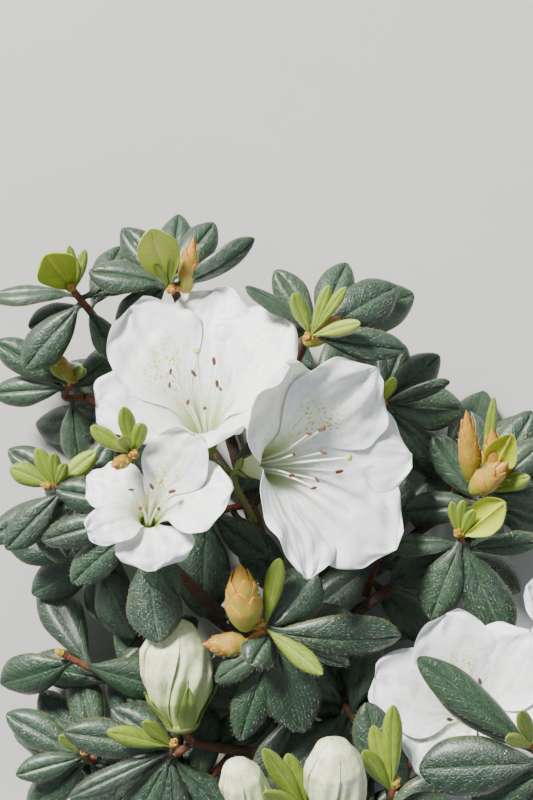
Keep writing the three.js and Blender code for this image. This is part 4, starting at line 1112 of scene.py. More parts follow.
class Effects:
    """Node groups that several materials share, each built once."""

    def __init__(self) -> None:
        """Builds the groups."""
        self.mottle = self._group("Mottle", {"Place": None, "Scale": 400.0}, self._mottle)
        self.relief = self._group("Fine_Relief", {"Place": None, "Scale": 2500.0}, self._relief)
        self.veins = self._group("Leaf_Veins", {"Surface": None, "Pairs": 7.0}, self._veins)

    @staticmethod
    def _group(name: str, inputs: dict, fill: Callable[[Graph, Socket, Socket], dict]) -> bpy.types.NodeTree:
        """A group of nodes.

        Args:
            name: the group's name.
            inputs: for each of its two inputs the start value, or None for a vector.
            fill: adds its nodes and returns its masks by name.

        Returns:
            The group.
        """
        tree = bpy.data.node_groups.new(name, "ShaderNodeTree")
        for key, value in inputs.items():
            kind = "NodeSocketVector" if value is None else "NodeSocketFloat"
            made = tree.interface.new_socket(key, in_out="INPUT", socket_type=kind)
            if value is not None:
                made.default_value = value
        graph = Graph(tree)
        masks = fill(graph, *graph.node("NodeGroupInput").outputs[:2])
        for key in masks:
            tree.interface.new_socket(key, in_out="OUTPUT", socket_type="NodeSocketFloat")
        graph.node("NodeGroupOutput", masks)
        return tree

    @staticmethod
    def _mottle(graph: Graph, place: Socket, scale: Socket) -> dict:
        """Soft blotches of two sizes, from 0 to 1.

        Args:
            graph: the group's graph.
            place: the place.
            scale: how fine they are.

        Returns:
            The mask by name.
        """
        wide = graph.noise(place, scale, 3.0)
        fine = graph.noise(place, graph.times(scale, 5.3), 4.0)
        return {"Blotches": graph.ease(graph.fused(fine, 0.4, graph.times(wide, 0.6)), 0.34, 0.66)}

    @staticmethod
    def _relief(graph: Graph, place: Socket, scale: Socket) -> dict:
        """The fine pebbled height of a plant's skin, from 0 to 1."""
        cells = graph.cells(place, scale, "SMOOTH_F1")
        return {"Height": graph.fused(cells, -0.7, graph.noise(place, scale, 3.0))}

    @staticmethod
    def _veins(graph: Graph, surface: Socket, pairs: Socket) -> dict:
        """Masks of a leaf's midrib and side veins, and of the net between them, from 0 to 1.

        Args:
            graph: the group's graph.
            surface: the place on the leaf.
            pairs: how many pairs of side veins it has.

        Returns:
            The masks by name.
        """
        along, offset = graph.parts(surface)
        across = graph.size(offset)
        slanted = graph.fused(across, -VEIN_SLANT, graph.times(along, VEIN_SPREAD))
        ridge = graph.size(graph.math("SUBTRACT", graph.math("FRACT", graph.times(pairs, slanted)), 0.5))
        side = graph.times(graph.ease(ridge, 0.38, 0.5), graph.ease(across, 0.75, 1, 0.6, 0))
        net_place = graph.vector(graph.times(along, 34.0), graph.times(offset, 8.0))
        net = graph.cells(net_place, 1.6, "DISTANCE_TO_EDGE")
        return {"Veins": graph.math("MAXIMUM", graph.fade(across, 0.03, 0.1), side),
                "Net": graph.fade(net, 0, 0.14)}


@dataclass(frozen=True)
class Skin:
    """What a finish is painted from."""

    graph: Graph
    effects: Effects
    # The place on the surface, the mottling and the fine height.
    surface: Socket
    blotches: Socket
    fine: Socket


class Palette:
    """Makes each finish's material once, with the shared groups."""

    def __init__(self) -> None:
        """Builds the shared groups."""
        self.effects = Effects()
        self.made: dict[str, bpy.types.Material] = {}

    def of(self, finish: "Finish") -> bpy.types.Material:
        """The material of a finish.

        Args:
            finish: the finish.

        Returns:
            The material, which is built once.
        """
        if finish.name not in self.made:
            self.made[finish.name] = finish.build(self.effects)
        return self.made[finish.name]


@dataclass(frozen=True)
class Finish:
    """What every finish has: two shades between which it is mottled, and how it shines."""

    name: str
    dark: Colour
    light: Colour
    roughness: float = 0.6
    coat: float = 0.0
    scatter: float = 0.0
    scale: float = 400.0
    depth: float = 0.15

    def build(self, effects: Effects) -> bpy.types.Material:
        """Makes the material.

        Args:
            effects: the shared groups.

        Returns:
            The material.
        """
        material = bpy.data.materials.new(self.name)
        material.use_nodes = True
        material.node_tree.nodes.clear()
        graph = Graph(material.node_tree)
        place = graph.node("TexCoord").outputs["Object"]
        blotches, fine = (graph.node("Group", {"Place": place, "Scale": scale}, node_tree=tree).outputs[0]
                          for tree, scale in ((effects.mottle, self.scale),
                                              (effects.relief, self.scale * RELIEF_FINENESS)))
        surface = graph.node("UVMap", uv_map="surface").outputs[0]
        colour, height = self.paint(Skin(graph, effects, surface, blotches, fine))
        relief = graph.node("Bump", {"Height": height, "Strength": self.depth, "Distance": RELIEF})
        # The mottling varies the roughness a little, evenly about the finish's own.
        rough = graph.fused(blotches, ROUGH_RANGE, self.roughness - ROUGH_RANGE / 2)
        sockets = {"Base Color": colour, "Roughness": rough, "Normal": relief.outputs[0],
                   "Coat Weight": self.coat, "Coat Roughness": COAT_ROUGHNESS}
        if self.scatter:
            sockets |= {"Subsurface Weight": self.scatter, "Subsurface Radius": SCATTER_TINT,
                        "Subsurface Scale": SCATTER_REACH}
        shader = graph.node("BsdfPrincipled", sockets)
        graph.node("OutputMaterial", {"Surface": shader.outputs[0]})
        return material

    def paint(self, skin: Skin) -> tuple[Socket, Socket]:
        """The finish's colour and height."""
        shade = skin.graph.fused(skin.graph.attribute("tone"), 0.6, skin.graph.times(skin.blotches, 0.4))
        return skin.graph.mix(shade, self.dark, self.light), skin.fine


@dataclass(frozen=True)
class LeafFinish(Finish):
    """A leaf's side: veins in their own colour, and margins that age."""

    vein: Colour = (0.2, 0.3, 0.1)
    vein_share: float = 0.5
    vein_height: float = -0.6
    margin: Colour = (0.16, 0.13, 0.04)
    net_share: float = 0.16
    margin_share: float = 0.5

    def paint(self, skin: Skin) -> tuple[Socket, Socket]:
        """The leaf's colour and height, with its veins.

        Args:
            skin: what it is painted from.

        Returns:
            The colour and the height.
        """
        graph = skin.graph
        sockets = {"Surface": skin.surface, "Pairs": float(VEIN_PAIRS)}
        veins, net = graph.node("Group", sockets, node_tree=skin.effects.veins).outputs[:2]
        colour, fine = super().paint(skin)
        colour = graph.mix(graph.times(net, self.net_share), colour, self.vein)
        colour = graph.mix(graph.times(veins, self.vein_share), colour, self.vein)
        across = graph.size(graph.parts(skin.surface)[1])
        edge = graph.times(graph.ease(across, 0.86, 1), graph.times(skin.blotches, self.margin_share))
        height = graph.fused(net, self.vein_height * 0.4, graph.fused(veins, self.vein_height, fine))
        return graph.mix(edge, colour, self.margin), height


@dataclass(frozen=True)
class PetalFinish(Finish):
    """A petal: fine lengthwise veins, a tinted throat and, on the upper petals, speckles."""

    throat: Colour = (0.6, 0.7, 0.24)
    reach: tuple[float, float] = (0.12, 0.52)
    speckle: Colour = (0.46, 0.54, 0.05)
    blush: Colour = (0.78, 0.84, 0.5)
    vein_share: float = 0.22
    throat_share: float = 0.8
    blush_share: float = 0.3
    vein_height: float = -0.5

    def paint(self, skin: Skin) -> tuple[Socket, Socket]:
        """The petal's colour and height.

        Args:
            skin: what it is painted from.

        Returns:
            The colour and the height.
        """
        graph = skin.graph
        along, across = graph.parts(skin.surface)
        spread = graph.vector(graph.times(along, 3.0), graph.times(across, 11.0),
                              graph.times(graph.attribute("age"), 9.0))
        lines = graph.noise(spread, 2.2)
        vein = graph.fade(graph.size(graph.math("SUBTRACT", lines, 0.5)), 0, 0.05)
        colour = graph.mix(skin.blotches, self.dark, self.light)
        colour = graph.mix(graph.times(vein, self.vein_share), colour, self.dark)
        deep = graph.times(graph.fade(along, *self.reach), self.throat_share)
        colour = graph.mix(deep, colour, self.throat)
        flecks = graph.cells(graph.vector(graph.times(along, 42.0), graph.times(across, 13.0)), 1.0)
        inner = graph.times(graph.ease(along, 0.22, 0.34), graph.fade(along, 0.6, 0.8))
        field = graph.times(graph.fade(graph.size(across), 0.2, 0.8), inner)
        field = graph.times(field, graph.attribute("tone"))
        colour = graph.mix(graph.times(field, self.blush_share), colour, self.blush)
        colour = graph.mix(graph.times(graph.fade(flecks, 0.2, 0.42), field), colour, self.speckle)
        return colour, graph.fused(vein, self.vein_height, skin.fine)


@dataclass(frozen=True)
class BarkFinish(Finish):
    """Bark: old and furrowed towards the cut end, young and smooth on the shoots."""

    young: Colour = (0.24, 0.075, 0.035)
    lichen: Colour = (0.22, 0.21, 0.17)

    def paint(self, skin: Skin) -> tuple[Socket, Socket]:
        """The bark's colour and height.

        Args:
            skin: what it is painted from.

        Returns:
            The colour and the height.
        """
        graph = skin.graph
        age = graph.attribute("age")
        share, along = graph.parts(skin.surface)
        turn = graph.times(share, 2 * math.pi)
        place = graph.vector(graph.math("COSINE", turn), graph.math("SINE", turn), graph.times(along, 0.11))
        furrows = graph.noise(place, 5.0, 6.0, 0.6)
        colour = graph.mix(skin.blotches, self.dark, self.light)
        colour = graph.mix(graph.ease(furrows, 0.56, 0.7), colour, self.lichen)
        # Painted shade: the low furrows are painted darker, as shade in the recesses.
        colour = graph.mix(graph.times(graph.fade(furrows, 0.38, 0.52), 0.7), colour, self.dark)
        fresh = graph.mix(graph.times(skin.blotches, 0.5), self.young, self.dark)
        height = graph.fused(furrows, graph.fused(age, 3.0, 0.6), skin.fine)
        return graph.mix(graph.ease(age, 0.25, 0.8), fresh, colour), height


@dataclass(frozen=True)
class CutWoodFinish(Finish):
    """A cut end: pale wood with yearly rings, rays and a dark pith."""

    bast: Colour = (0.16, 0.2, 0.05)

    def paint(self, skin: Skin) -> tuple[Socket, Socket]:
        """The cut wood's colour and height.

        Args:
            skin: what it is painted from.

        Returns:
            The colour and the height.
        """
        graph = skin.graph
        radius = graph.node("VectorMath", {0: skin.surface}, operation="LENGTH").outputs["Value"]
        rings = graph.math("SINE", graph.fused(skin.blotches, 2.0, graph.times(radius, 42.0)))
        share = graph.ease(rings, -1, 1)
        colour = graph.mix(share, self.dark, self.light)
        colour = graph.mix(graph.fade(radius, 0.06, 0.12), colour, self.dark)
        colour = graph.mix(graph.ease(radius, 0.86, 0.93), colour, self.bast)
        return colour, graph.fused(share, 0.4, skin.fine)


@dataclass(frozen=True)
class ScaleFinish(Finish):
    """A bud scale: green at its foot, and orange-brown towards its tip and margins."""

    foot: Colour = (0.31, 0.32, 0.035)

    def paint(self, skin: Skin) -> tuple[Socket, Socket]:
        """The scale's colour and height.

        Args:
            skin: what it is painted from.

        Returns:
            The colour and the height.
        """
        graph = skin.graph
        along, across = graph.parts(skin.surface)
        colour, fine = super().paint(skin)
        margin = graph.times(graph.ease(graph.size(across), 0.5, 1), 0.5)
        warm = graph.math("ADD", graph.ease(along, 0.25, 1), margin, clamp=True)
        streak = graph.noise(graph.vector(graph.times(along, 2.0), graph.times(across, 12.0)), 2.0)
        return graph.mix(warm, self.foot, colour), graph.fused(streak, 1.4, fine)


LEAF_TOP = LeafFinish("leaf_top", (0.007, 0.021, 0.014), (0.029, 0.068, 0.033), 0.34, 0.45, 0, 260, 0.7,
                      vein=(0.075, 0.14, 0.065), vein_share=0.45)
LEAF_UNDER = LeafFinish("leaf_under", (0.1, 0.17, 0.07), (0.17, 0.26, 0.11), 0.7, 0, 0, 300, 0.3,
                        vein=(0.28, 0.36, 0.16), vein_share=0.8, vein_height=0.8)
NEW_TOP = LeafFinish("new_leaf_top", (0.1, 0.185, 0.01), (0.26, 0.36, 0.022), 0.45, 0.2, 0.15, 300, 0.35,
                     vein=(0.42, 0.5, 0.1), vein_share=0.6, margin=(0.3, 0.2, 0.05))
NEW_UNDER = LeafFinish("new_leaf_under", (0.22, 0.32, 0.06), (0.38, 0.47, 0.12), 0.6, 0, 0.15, 300, 0.35,
                       vein=(0.55, 0.6, 0.25), vein_share=0.8, vein_height=0.8)
# Painted backlight: a leaf painted bright yellow-green as though lit through from behind, with darker
# margins.
PAINTED_BACKLIT = LeafFinish("painted_backlit_leaf", (0.22, 0.33, 0.01), (0.44, 0.52, 0.024), 0.5, 0.1, 0.2, 300, 0.35,
                     vein=(0.5, 0.5, 0.1), vein_share=0.7, vein_height=0.8, margin=(0.2, 0.2, 0.03))
PETAL = PetalFinish("petal", (0.74, 0.78, 0.76), (0.92, 0.93, 0.91), 0.42, 0.1, 0.35, 500, 0.2)
BUD_PETAL = PetalFinish("bud_petal", (0.56, 0.64, 0.3), (0.86, 0.88, 0.66), 0.45, 0.1, 0.35, 500, 0.2,
                        throat=(0.32, 0.44, 0.07), reach=(0.05, 0.7))
FILAMENT = Finish("filament", (0.72, 0.76, 0.62), (0.86, 0.87, 0.83), 0.4, 0.1, 0.3, 500)
ANTHER = Finish("anther", (0.07, 0.02, 0.012), (0.22, 0.07, 0.03), 0.6, 0, 0, 1500, 0.4)
STIGMA = Finish("stigma", (0.36, 0.46, 0.06), (0.56, 0.62, 0.16), 0.25, 0.4, 0.2, 1500, 0.3)
CALYX = LeafFinish("calyx", (0.12, 0.22, 0.035), (0.25, 0.35, 0.07), 0.55, 0, 0, 500, 0.3,
                   vein=(0.32, 0.4, 0.12), margin=(0.3, 0.16, 0.06))
BARK = BarkFinish("bark", (0.045, 0.03, 0.02), (0.15, 0.105, 0.07), 0.85, 0, 0, 260, 0.9)
CUT_WOOD = CutWoodFinish("cut_wood", (0.42, 0.29, 0.14), (0.66, 0.52, 0.31), 0.75, 0, 0, 500, 0.25)
SCALE = ScaleFinish("bud_scale", (0.38, 0.125, 0.016), (0.58, 0.31, 0.032), 0.45, 0.2, 0, 500, 0.5)
HAIR = Finish("hair", (0.42, 0.4, 0.32), (0.66, 0.67, 0.6), 0.5, 0, 0, 900)
FLOOR = Finish("floor", (0.44, 0.44, 0.43), (0.48, 0.48, 0.465), 0.9, 0, 0, 12, 0.02)


@dataclass(frozen=True)
class RodStyle:
    """A woody rod: how old it is at both ends, how deep its ridges are, and the points round it."""

    ages: tuple[float, float]
    depth: float
    columns: int
    # The index of the first end's finish, and how much wider the foot is.
    cap: int = 0
    collar: float = 0.0
    # The distance between rings, and the least rows, the length and the columns of ridges, flakes and scars.
    spacing: float = 0.9
    grains: tuple = ((3, 9, 9), (4, 2.2, 13), (4, 3, 1))


STEM_STYLE = RodStyle((1.0, 0.95), 0.055, 32, cap=1)
LIMB_STYLE = RodStyle((0.9, 0.45), 0.045, 22, collar=0.2)
TWIG_STYLE = RodStyle((0.4, 0.05), 0.04, 14)
STALK_STYLE = RodStyle((0.02, 0.2), 0.03, 14)
NECK_STYLE = RodStyle((0.2, 0.3), 0.03, 12)
PEDICEL_STYLE = RodStyle((0.1, 0.2), 0.03, 12)


@dataclass(frozen=True)
class HairStyle:
    """A kind of hair: how thick it is at the foot, and the range of its length."""

    radius: float
    length: tuple[float, float]


BRISTLE = HairStyle(0.055, (0.7, 1.7))
LEAF_HAIR = HairStyle(0.023, (0.5, 1.1))
MARGIN_HAIR = HairStyle(0.035, (0.6, 1.2))


class Hairs:
    """A piece of fine hairs, each a slim closed spike."""

    # The angles of the three corners of a hair's foot.
    CORNERS = (0, 2.1, 4.2)
    FACES = ((0, 1, 3), (1, 2, 3), (2, 0, 3), (2, 1, 0))

    def __init__(self, name: str, seed: int) -> None:
        """Starts the piece and its draws."""
        self.maker = MeshMaker(name)
        self.random = np.random.default_rng(seed)

    def add(self, roots: np.ndarray, ways: np.ndarray, style: HairStyle) -> None:
        """Adds hairs.

        Args:
            roots: where each one starts.
            ways: the unit vector that each one follows.
            style: their kind.
        """
        across = unit(np.cross(ways, np.array((0.31, 0.52, 0.79))))
        other = np.cross(ways, across)
        count = len(roots)
        corners = [roots + style.radius * (across * math.cos(a) + other * math.sin(a)) for a in self.CORNERS]
        tips = roots + ways * self.random.uniform(*style.length, count)[:, None]
        points = np.stack([*corners, tips], 1).reshape(-1, 3)
        start = 4 * np.arange(count)[:, None]
        faces = np.concatenate([start + np.array(face) for face in self.FACES])
        tone = np.repeat(self.random.uniform(0, 1, count), 4)
        self.maker.add(points, np.column_stack([np.zeros((4 * count, 2)), tone, tone]), faces)

    def along(self, route: Route, radius: float, count: int) -> None:
        """Bristles on a stem, leaning towards its tip.

        Args:
            route: the stem's line.
            radius: its radius.
            count: how many bristles.
        """
        share = self.random.uniform(0.02, 0.98, count)
        centre = route.at(share)
        way = unit(route.at(np.clip(share + 0.02, 0, 1)) - route.at(np.clip(share - 0.02, 0, 1)))
        side = unit(np.cross(way, self.random.normal(size=(count, 3))))
        lean = self.random.uniform(0.5, 1.4, count)[:, None]
        self.add(centre + side * radius * 0.94, unit(side + way * lean), BRISTLE)

    def over(self, points: np.ndarray, normals: np.ndarray, count: int, margin: int) -> None:
        """Hairs lying on a leaf, and others along its margins.

        Args:
            points: the leaf's upper side, in rows.
            normals: the way it faces.
            count: how many lie on it.
            margin: how many stand at its margins.
        """
        rows, columns = points.shape[:2]
        along = unit(points[-1, columns // 2] - points[0, columns // 2])
        i = self.random.integers(2, rows - 2, count)
        k = self.random.integers(1, columns - 1, count)
        slide = self.random.uniform(0, 1, count)[:, None]
        roots = points[i, k] * slide + points[i + 1, k] * (1 - slide)
        lift = self.random.uniform(0.15, 0.6, count)[:, None]
        self.add(roots, unit(along + normals[i, k] * lift), LEAF_HAIR)
        i = self.random.integers(2, rows - 1, margin)
        k = np.where(self.random.uniform(size=margin) < 0.5, 0, columns - 1)
        out = unit(points[i, k] - points[i, columns // 2])
        self.add(points[i, k], unit(out * 0.7 + along), MARGIN_HAIR)


@dataclass
class Assembly:
    """A part of the branch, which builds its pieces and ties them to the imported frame."""

    layout: Layout
    palette: Palette

    def finish(self, maker: MeshMaker, finishes: Iterable[Finish], slot: Slot, nodes: list[str],
               sharp: float = 50) -> None:
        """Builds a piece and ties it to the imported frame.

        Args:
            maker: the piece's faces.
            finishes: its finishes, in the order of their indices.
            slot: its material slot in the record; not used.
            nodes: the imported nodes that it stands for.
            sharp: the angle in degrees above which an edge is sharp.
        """
        piece = maker.build(self.layout, [self.palette.of(finish) for finish in finishes], sharp)
        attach(piece, ROOT)
        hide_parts(*nodes)
        LOG.info("%s: %d faces", maker.name, len(piece.data.polygons))


@dataclass
class Wood(Assembly):
    """Limbs and stalks with ridged bark."""

    twig_radii: tuple[float, float] = (STALK_RADIUS + 0.25, STALK_RADIUS)
    stalk_radii: tuple[float, float] = (1.7, 1.2)
    # How far a stalk reaches into its bud, and where its bristles stand.
    stalk_depth: float = 2
    stalk_middle: float = 1.4
    twig_bristles: int = 26
    stalk_bristles: int = 40
    # Half the length and half the width of the knob at a twig's tip.
    knob: tuple[float, float] = (1.2, 1.25)
    limb_seed: int = 700
    twig_seed: int = 1200
    stalk_seed: int = 1600
    bristle_seed: int = 1900

    @staticmethod
    def rod(maker: MeshMaker, route: Route, radii: tuple[float, float], seed: int, style: RodStyle) -> None:
        """Adds a tapering round limb with ridges, flakes and scars.

        Args:
            maker: the piece.
            route: what it follows.
            radii: its radius at both ends.
            seed: the start of its draws.
            style: how its bark looks.
        """
        count = max(8, int(route.length / style.spacing))
        share, turn = np.linspace(0, 1, count), np.arange(style.columns) / style.columns
        s, t = np.meshgrid(share, turn, indexing="ij")
        ridges, flakes, scars = (Grain(seed + i, max(least, int(route.length / length)), columns)(s, t)
                                 for i, (least, length, columns) in enumerate(style.grains))
        bark = 0.96 + style.depth * (ridges + 0.7 * flakes) + 0.4 * style.depth * scars
        swell = np.exp(-((share[:, None] * route.length / (2.2 * radii[0])) ** 2))
        radius = np.linspace(*radii, count)[:, None] * bark * (1 + style.collar * swell)
        tone = float(np.random.default_rng(seed + len(style.grains)).uniform(0, 1))
        age = np.linspace(*style.ages, count)
        maker.rod(route, 2 * np.pi * turn, radius, tone, age, route.length, style.cap)

    def limbs(self) -> None:
        """Builds the woody limbs."""
        maker = MeshMaker("limbs")
        for i, limb in enumerate(LIMBS):
            style = STEM_STYLE if limb.name == "main_stem" else LIMB_STYLE
            self.rod(maker, Route(limb.route), limb.radii, self.limb_seed + SEED_STEP * i, style)
        self.finish(maker, (BARK, CUT_WOOD), Slot.BARK, [limb.name for limb in LIMBS])

    def twigs(self) -> None:
        """Builds the shoots' own stems and the stalks of the white buds, with their bristles."""
        maker, hairs = MeshMaker("twigs"), Hairs("bristles", self.bristle_seed)
        for i, shoot in enumerate(ALL_SHOOTS):
            route = Route(shoot.stem)
            self.rod(maker, route, self.twig_radii, self.twig_seed + SEED_STEP * i, TWIG_STYLE)
            hairs.along(route, STALK_RADIUS, self.twig_bristles)
            maker.ovoid(route.at(1.0), route.end_way() * self.knob[0], self.knob[1], 0.05, (8, 12))
        for i, bud in enumerate(WHITE_BUDS):
            route = Route([np.array(bud.base) + self.stalk_depth * heading(*bud.aim), *bud.stalk])
            self.rod(maker, route, self.stalk_radii, self.stalk_seed + SEED_STEP * i, STALK_STYLE)
            hairs.along(route, self.stalk_middle, self.stalk_bristles)
        names = [layout.name for layout in ALL_SHOOTS + WHITE_BUDS]
        self.finish(maker, (BARK,), Slot.BARK, names)
        self.finish(hairs.maker, (HAIR,), Slot.BARK, names)

    def build(self) -> None:
        """Builds the pieces."""
        self.limbs()
        self.twigs()


@dataclass
class Foliage(Assembly):
    """The leaves of all shoots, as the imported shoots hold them."""

    # Thickness of a blade, of a new leaf's blade, and what the stalk and the midrib add.
    blade: float = 0.42
    new_blade: float = 0.36
    stalk: float = 0.75
    midrib: float = 0.15
    # Heights of the relief on leaves of the full width or more, and that width.
    pillow: float = 0.32
    groove: float = 0.5
    margin: float = 0.7
    belly: float = 0.42
    ripple: float = 0.12
    full_width: float = 12
    margin_hairs: int = 60
    hairs_area: float = 3
    random: np.random.Generator = field(default_factory=lambda: np.random.default_rng(31))
    hairs: Hairs = field(default_factory=lambda: Hairs("leaf_hairs", 37))

    @staticmethod
    def back_rows(shoot: Shoot) -> list[tuple]:
        """The rows of a back shoot's leaves, dealt out by its seed.

        Args:
            shoot: the shoot's layout.

        Returns:
            One row for each leaf.
        """
        draw = SourceRandom(shoot.seed)
        return [(shoot.seed * BACK_TURN + i * GOLDEN_ANGLE,
                 *(low + (high - low) * draw() for low, high in BACK_LEAF)) for i in range(shoot.count)]

    def leaves_of(self, shoot: Shoot) -> list[LeafShape]:
        """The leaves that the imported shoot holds, each at the pitch that it was given there.

        Args:
            shoot: the shoot's layout.

        Returns:
            The leaves' shapes.
        """
        stem = Route(shoot.stem)
        rows = shoot.leaves or self.back_rows(shoot)
        step = LEAF_SPAN / max(1, len(rows) - 1)
        plain = shoot.count > 0
        leaves = [Leaf(*row[:6], share=row[6] if len(row) > 6 else TOP_LEAF - step * i, plain=plain)
                  for i, row in enumerate(rows)]
        leaves += [Leaf(*row[:6], share=NEW_LEAF, plain=plain, fresh=True) for row in shoot.new_leaves]
        kept = []
        for leaf in leaves:
            root = stem.at(leaf.share)
            tries = [LeafShape(root, replace(leaf, pitch=leaf.pitch + lift)) for lift in LEAF_LIFTS]
            offsets = [self.layout.offset(shoot.name, shape.corners()) for shape in tries]
            least = min(offsets)
            if least < LEAF_MATCH:
                kept.append(tries[offsets.index(least)])
            else:
                LOG.info("%s has no leaf at azimuth %.0f: %.2f mm off", shoot.name, leaf.azimuth, least)
        return kept

    def grow(self, maker: MeshMaker, shape: LeafShape) -> None:
        """Adds one leaf with its groove, pillows and turned margins.

        Args:
            maker: the piece.
            shape: the leaf.
        """
        leaf = shape.leaf
        rows, columns = leaf.kind.grid
        u = 0.995 * np.linspace(0, 1, rows) ** 0.92
        v = np.linspace(-1, 1, columns)
        phase = self.random.uniform(0, 6)
        wave = 1 + 0.025 * np.sin(14 * u + phase) * smooth_step(0.2, 0.4, u)
        points, normals = shape.points(u, v, leaf.width / 2 * leaf_outline(u) ** LEAF_FULLNESS * wave)
        across = np.abs(v)[None, :]
        place = VEIN_PAIRS * (VEIN_SPREAD * u[:, None] - VEIN_SLANT * across)
        pillow = np.abs(np.cos(np.pi * place)) ** 0.6
        lift = self.pillow * (pillow - 0.5) * (1 - across**5) * smooth_step(0.02, 0.2, across)
        lift = lift - self.groove * bump(0, 0.1, v)[None, :] - self.margin * across**5
        lift = lift + self.belly * np.sin(np.pi * across)
        lift = lift + self.ripple * np.sin(9 * u[:, None] + phase) * across**2 * np.sign(v)[None, :]
        lift = lift * (smooth_step(0.1, 0.2, u) * smooth_step(1, 0.9, u))[:, None]
        points = points + normals * (lift * min(1.0, leaf.width / self.full_width))[..., None]
        thickness = np.full(points.shape[:2], self.new_blade if leaf.fresh else self.blade)
        spine = self.stalk * bump(0, 0.07, u) + self.midrib * bump(0.3, 0.3, u)
        thickness = thickness + spine[:, None] * bump(0, 0.3, v)
        tone = float(self.random.uniform(0, 1))
        maker.shell(points, normals, thickness, lattice(u, v), tone, finishes=leaf.kind.sides)
        if not leaf.plain:
            many = int(leaf.length * leaf.width / self.hairs_area)
            faces = -normals if 90 < abs(leaf.roll) < 270 else normals
            self.hairs.over(points + faces * thickness[..., None] / 2, faces, many, self.margin_hairs)

    def build(self) -> None:
        """Builds the leaf pieces."""
        front, back = ([shoot.name for shoot in shoots] for shoots in (SHOOTS, BACK_SHOOTS))
        mature = (LEAF_TOP, LEAF_UNDER)
        # The third finish is painted backlight, for the leaves turned over past a quarter turn.
        fresh = (NEW_TOP, NEW_UNDER, PAINTED_BACKLIT)
        pieces = {"leaves_front": (mature, front), "leaves_back": (mature, back),
                  "new_leaves": (fresh, front)}
        makers = {name: MeshMaker(name) for name in pieces}
        for shoot in ALL_SHOOTS:
            for shape in self.leaves_of(shoot):
                self.grow(makers[shape.leaf.kind.piece], shape)
        for name, (finishes, nodes) in pieces.items():
            self.finish(makers[name], finishes, Slot.FOLIAGE, nodes, 70)
        self.finish(self.hairs.maker, (HAIR,), Slot.FOLIAGE, front)


@dataclass
class ScaledBuds(Assembly):
    """Pointed buds wrapped in overlapping scales."""

    scales: int = 15
    tip_scales: int = 6
    tip_size: tuple[float, float] = (4.2, 3.1)
    thickness: float = 0.3
    core: float = 0.82
    neck_radii: tuple[float, float] = (1.4, 1.1)
    neck_seed: int = 2100
    # How far a neck reaches into its bud, and the share of the stem where it starts.
    neck_depth: float = 1.5
    neck_share: float = 0.9
    # Hairs: the shares of a bud's length and radius where they stand, and how many there are on a millimetre.
    hair_reach: float = 0.8
    hair_radius: float = 0.9
    hair_count: float = 3
    hair_seed: int = 59
    # Half the angle that a scale wraps, and how its tip and its middle stand off.
    wrap: float = 0.95
    tip_lift: float = 0.25
    bulge: float = 0.18
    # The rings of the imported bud: where along it each one is, and how wide.
    rings: tuple = ((0, 0.45), (0.32, 1), (0.68, 0.74))
    random: np.random.Generator = field(default_factory=lambda: np.random.default_rng(53))

    def held(self, node: str, axis: Axis, size: tuple[float, float]) -> bool:
        """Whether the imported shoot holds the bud.

        Args:
            node: the shoot's name.
            axis: the bud's line.
            size: its length and width.

        Returns:
            True if the bud's surface lies on the shoot's.
        """
        out = axis.out(full_turn(7)) * size[1] / 2
        rings = [axis.foot + axis.way * along * size[0] + out * share for along, share in self.rings]
        return self.layout.offset(node, np.vstack(rings)) < LEAF_MATCH

    def grow(self, maker: MeshMaker, axis: Axis, size: tuple[float, float], scales: int) -> None:
        """Adds a bud: its core, and its scales from the foot to the tip.

        Args:
            maker: the piece.
            axis: the line from its foot to its tip.
            size: its length and width.
            scales: how many scales wrap it.
        """
        length, radius = size[0], size[1] / 2
        stations, shares = np.array(SCALED_BUD_PROFILE).T
        t = np.linspace(0, 1, 14)
        core = (self.core * (radius * np.interp(t, stations, shares)))[:, None]
        rings = axis.about(t * length, core, axis.out(full_turn(14))[None])
        tone = float(self.random.uniform(0.2, 1))
        maker.tube(rings, lattice(t, np.zeros(14)), tone, np.zeros(14))
        u, v = np.linspace(0, 1, 9), np.linspace(-1, 1, 7)
        half = self.wrap * np.sqrt(np.clip(1 - u**2.2, LEAST, 1)) * (0.75 + 0.25 * np.sin(np.pi * u))
        for i in range(scales):
            rank = i / (scales - 1)
            start = max(0.0, 0.6 - 0.62 * rank)
            reach = (0.3 + 0.18 * rank) if rank < 0.85 else 0.42
            place = np.minimum(start + reach * u, 0.985)
            angle = math.radians(GOLDEN_ANGLE * i + 20) + half[:, None] * v[None, :]
            spread = (radius * np.interp(place, stations, shares))[:, None]
            spread = spread * (0.86 + 0.1 * (1 - rank) * u[:, None]) + self.tip_lift * u[:, None] ** 2
            spread = spread + self.bulge * (1 - np.abs(v)[None, :] ** 2) * u[:, None]
            out = axis.out(angle)
            shade = float(np.clip(tone + self.random.uniform(-0.25, 0.25), 0, 1))
            maker.shell(axis.about(place * length, spread, out), -out, self.thickness, lattice(u, v), shade)

    def build(self) -> None:
        """Builds the pieces."""
        maker, hairs = MeshMaker("scaled_buds"), Hairs("bud_hairs", self.hair_seed)
        for i, shoot in enumerate(ALL_SHOOTS, 1):
            stem = Route(shoot.stem)
            self.grow(maker, Axis(stem.at(1.0), stem.end_way()), self.tip_size, self.tip_scales)
            for base, aim, size in shoot.buds:
                axis = Axis(base, heading(*aim))
                if not self.held(shoot.name, axis, size):
                    LOG.info("%s has no bud at %s", shoot.name, base)
                    continue
                self.grow(maker, axis, size, self.scales)
                neck = Route([axis.foot + self.neck_depth * axis.way, stem.at(self.neck_share)])
                Wood.rod(maker, neck, self.neck_radii, self.neck_seed + i, NECK_STYLE)
                flank = Route([axis.foot, axis.foot + axis.way * size[0] * self.hair_reach])
                hairs.along(flank, size[1] / 2 * self.hair_radius, int(size[0] * self.hair_count))
        nodes = [shoot.name for shoot in ALL_SHOOTS]
        self.finish(maker, (SCALE,), Slot.FOLIAGE, nodes, 60)
        self.finish(hairs.maker, (HAIR,), Slot.FOLIAGE, nodes)


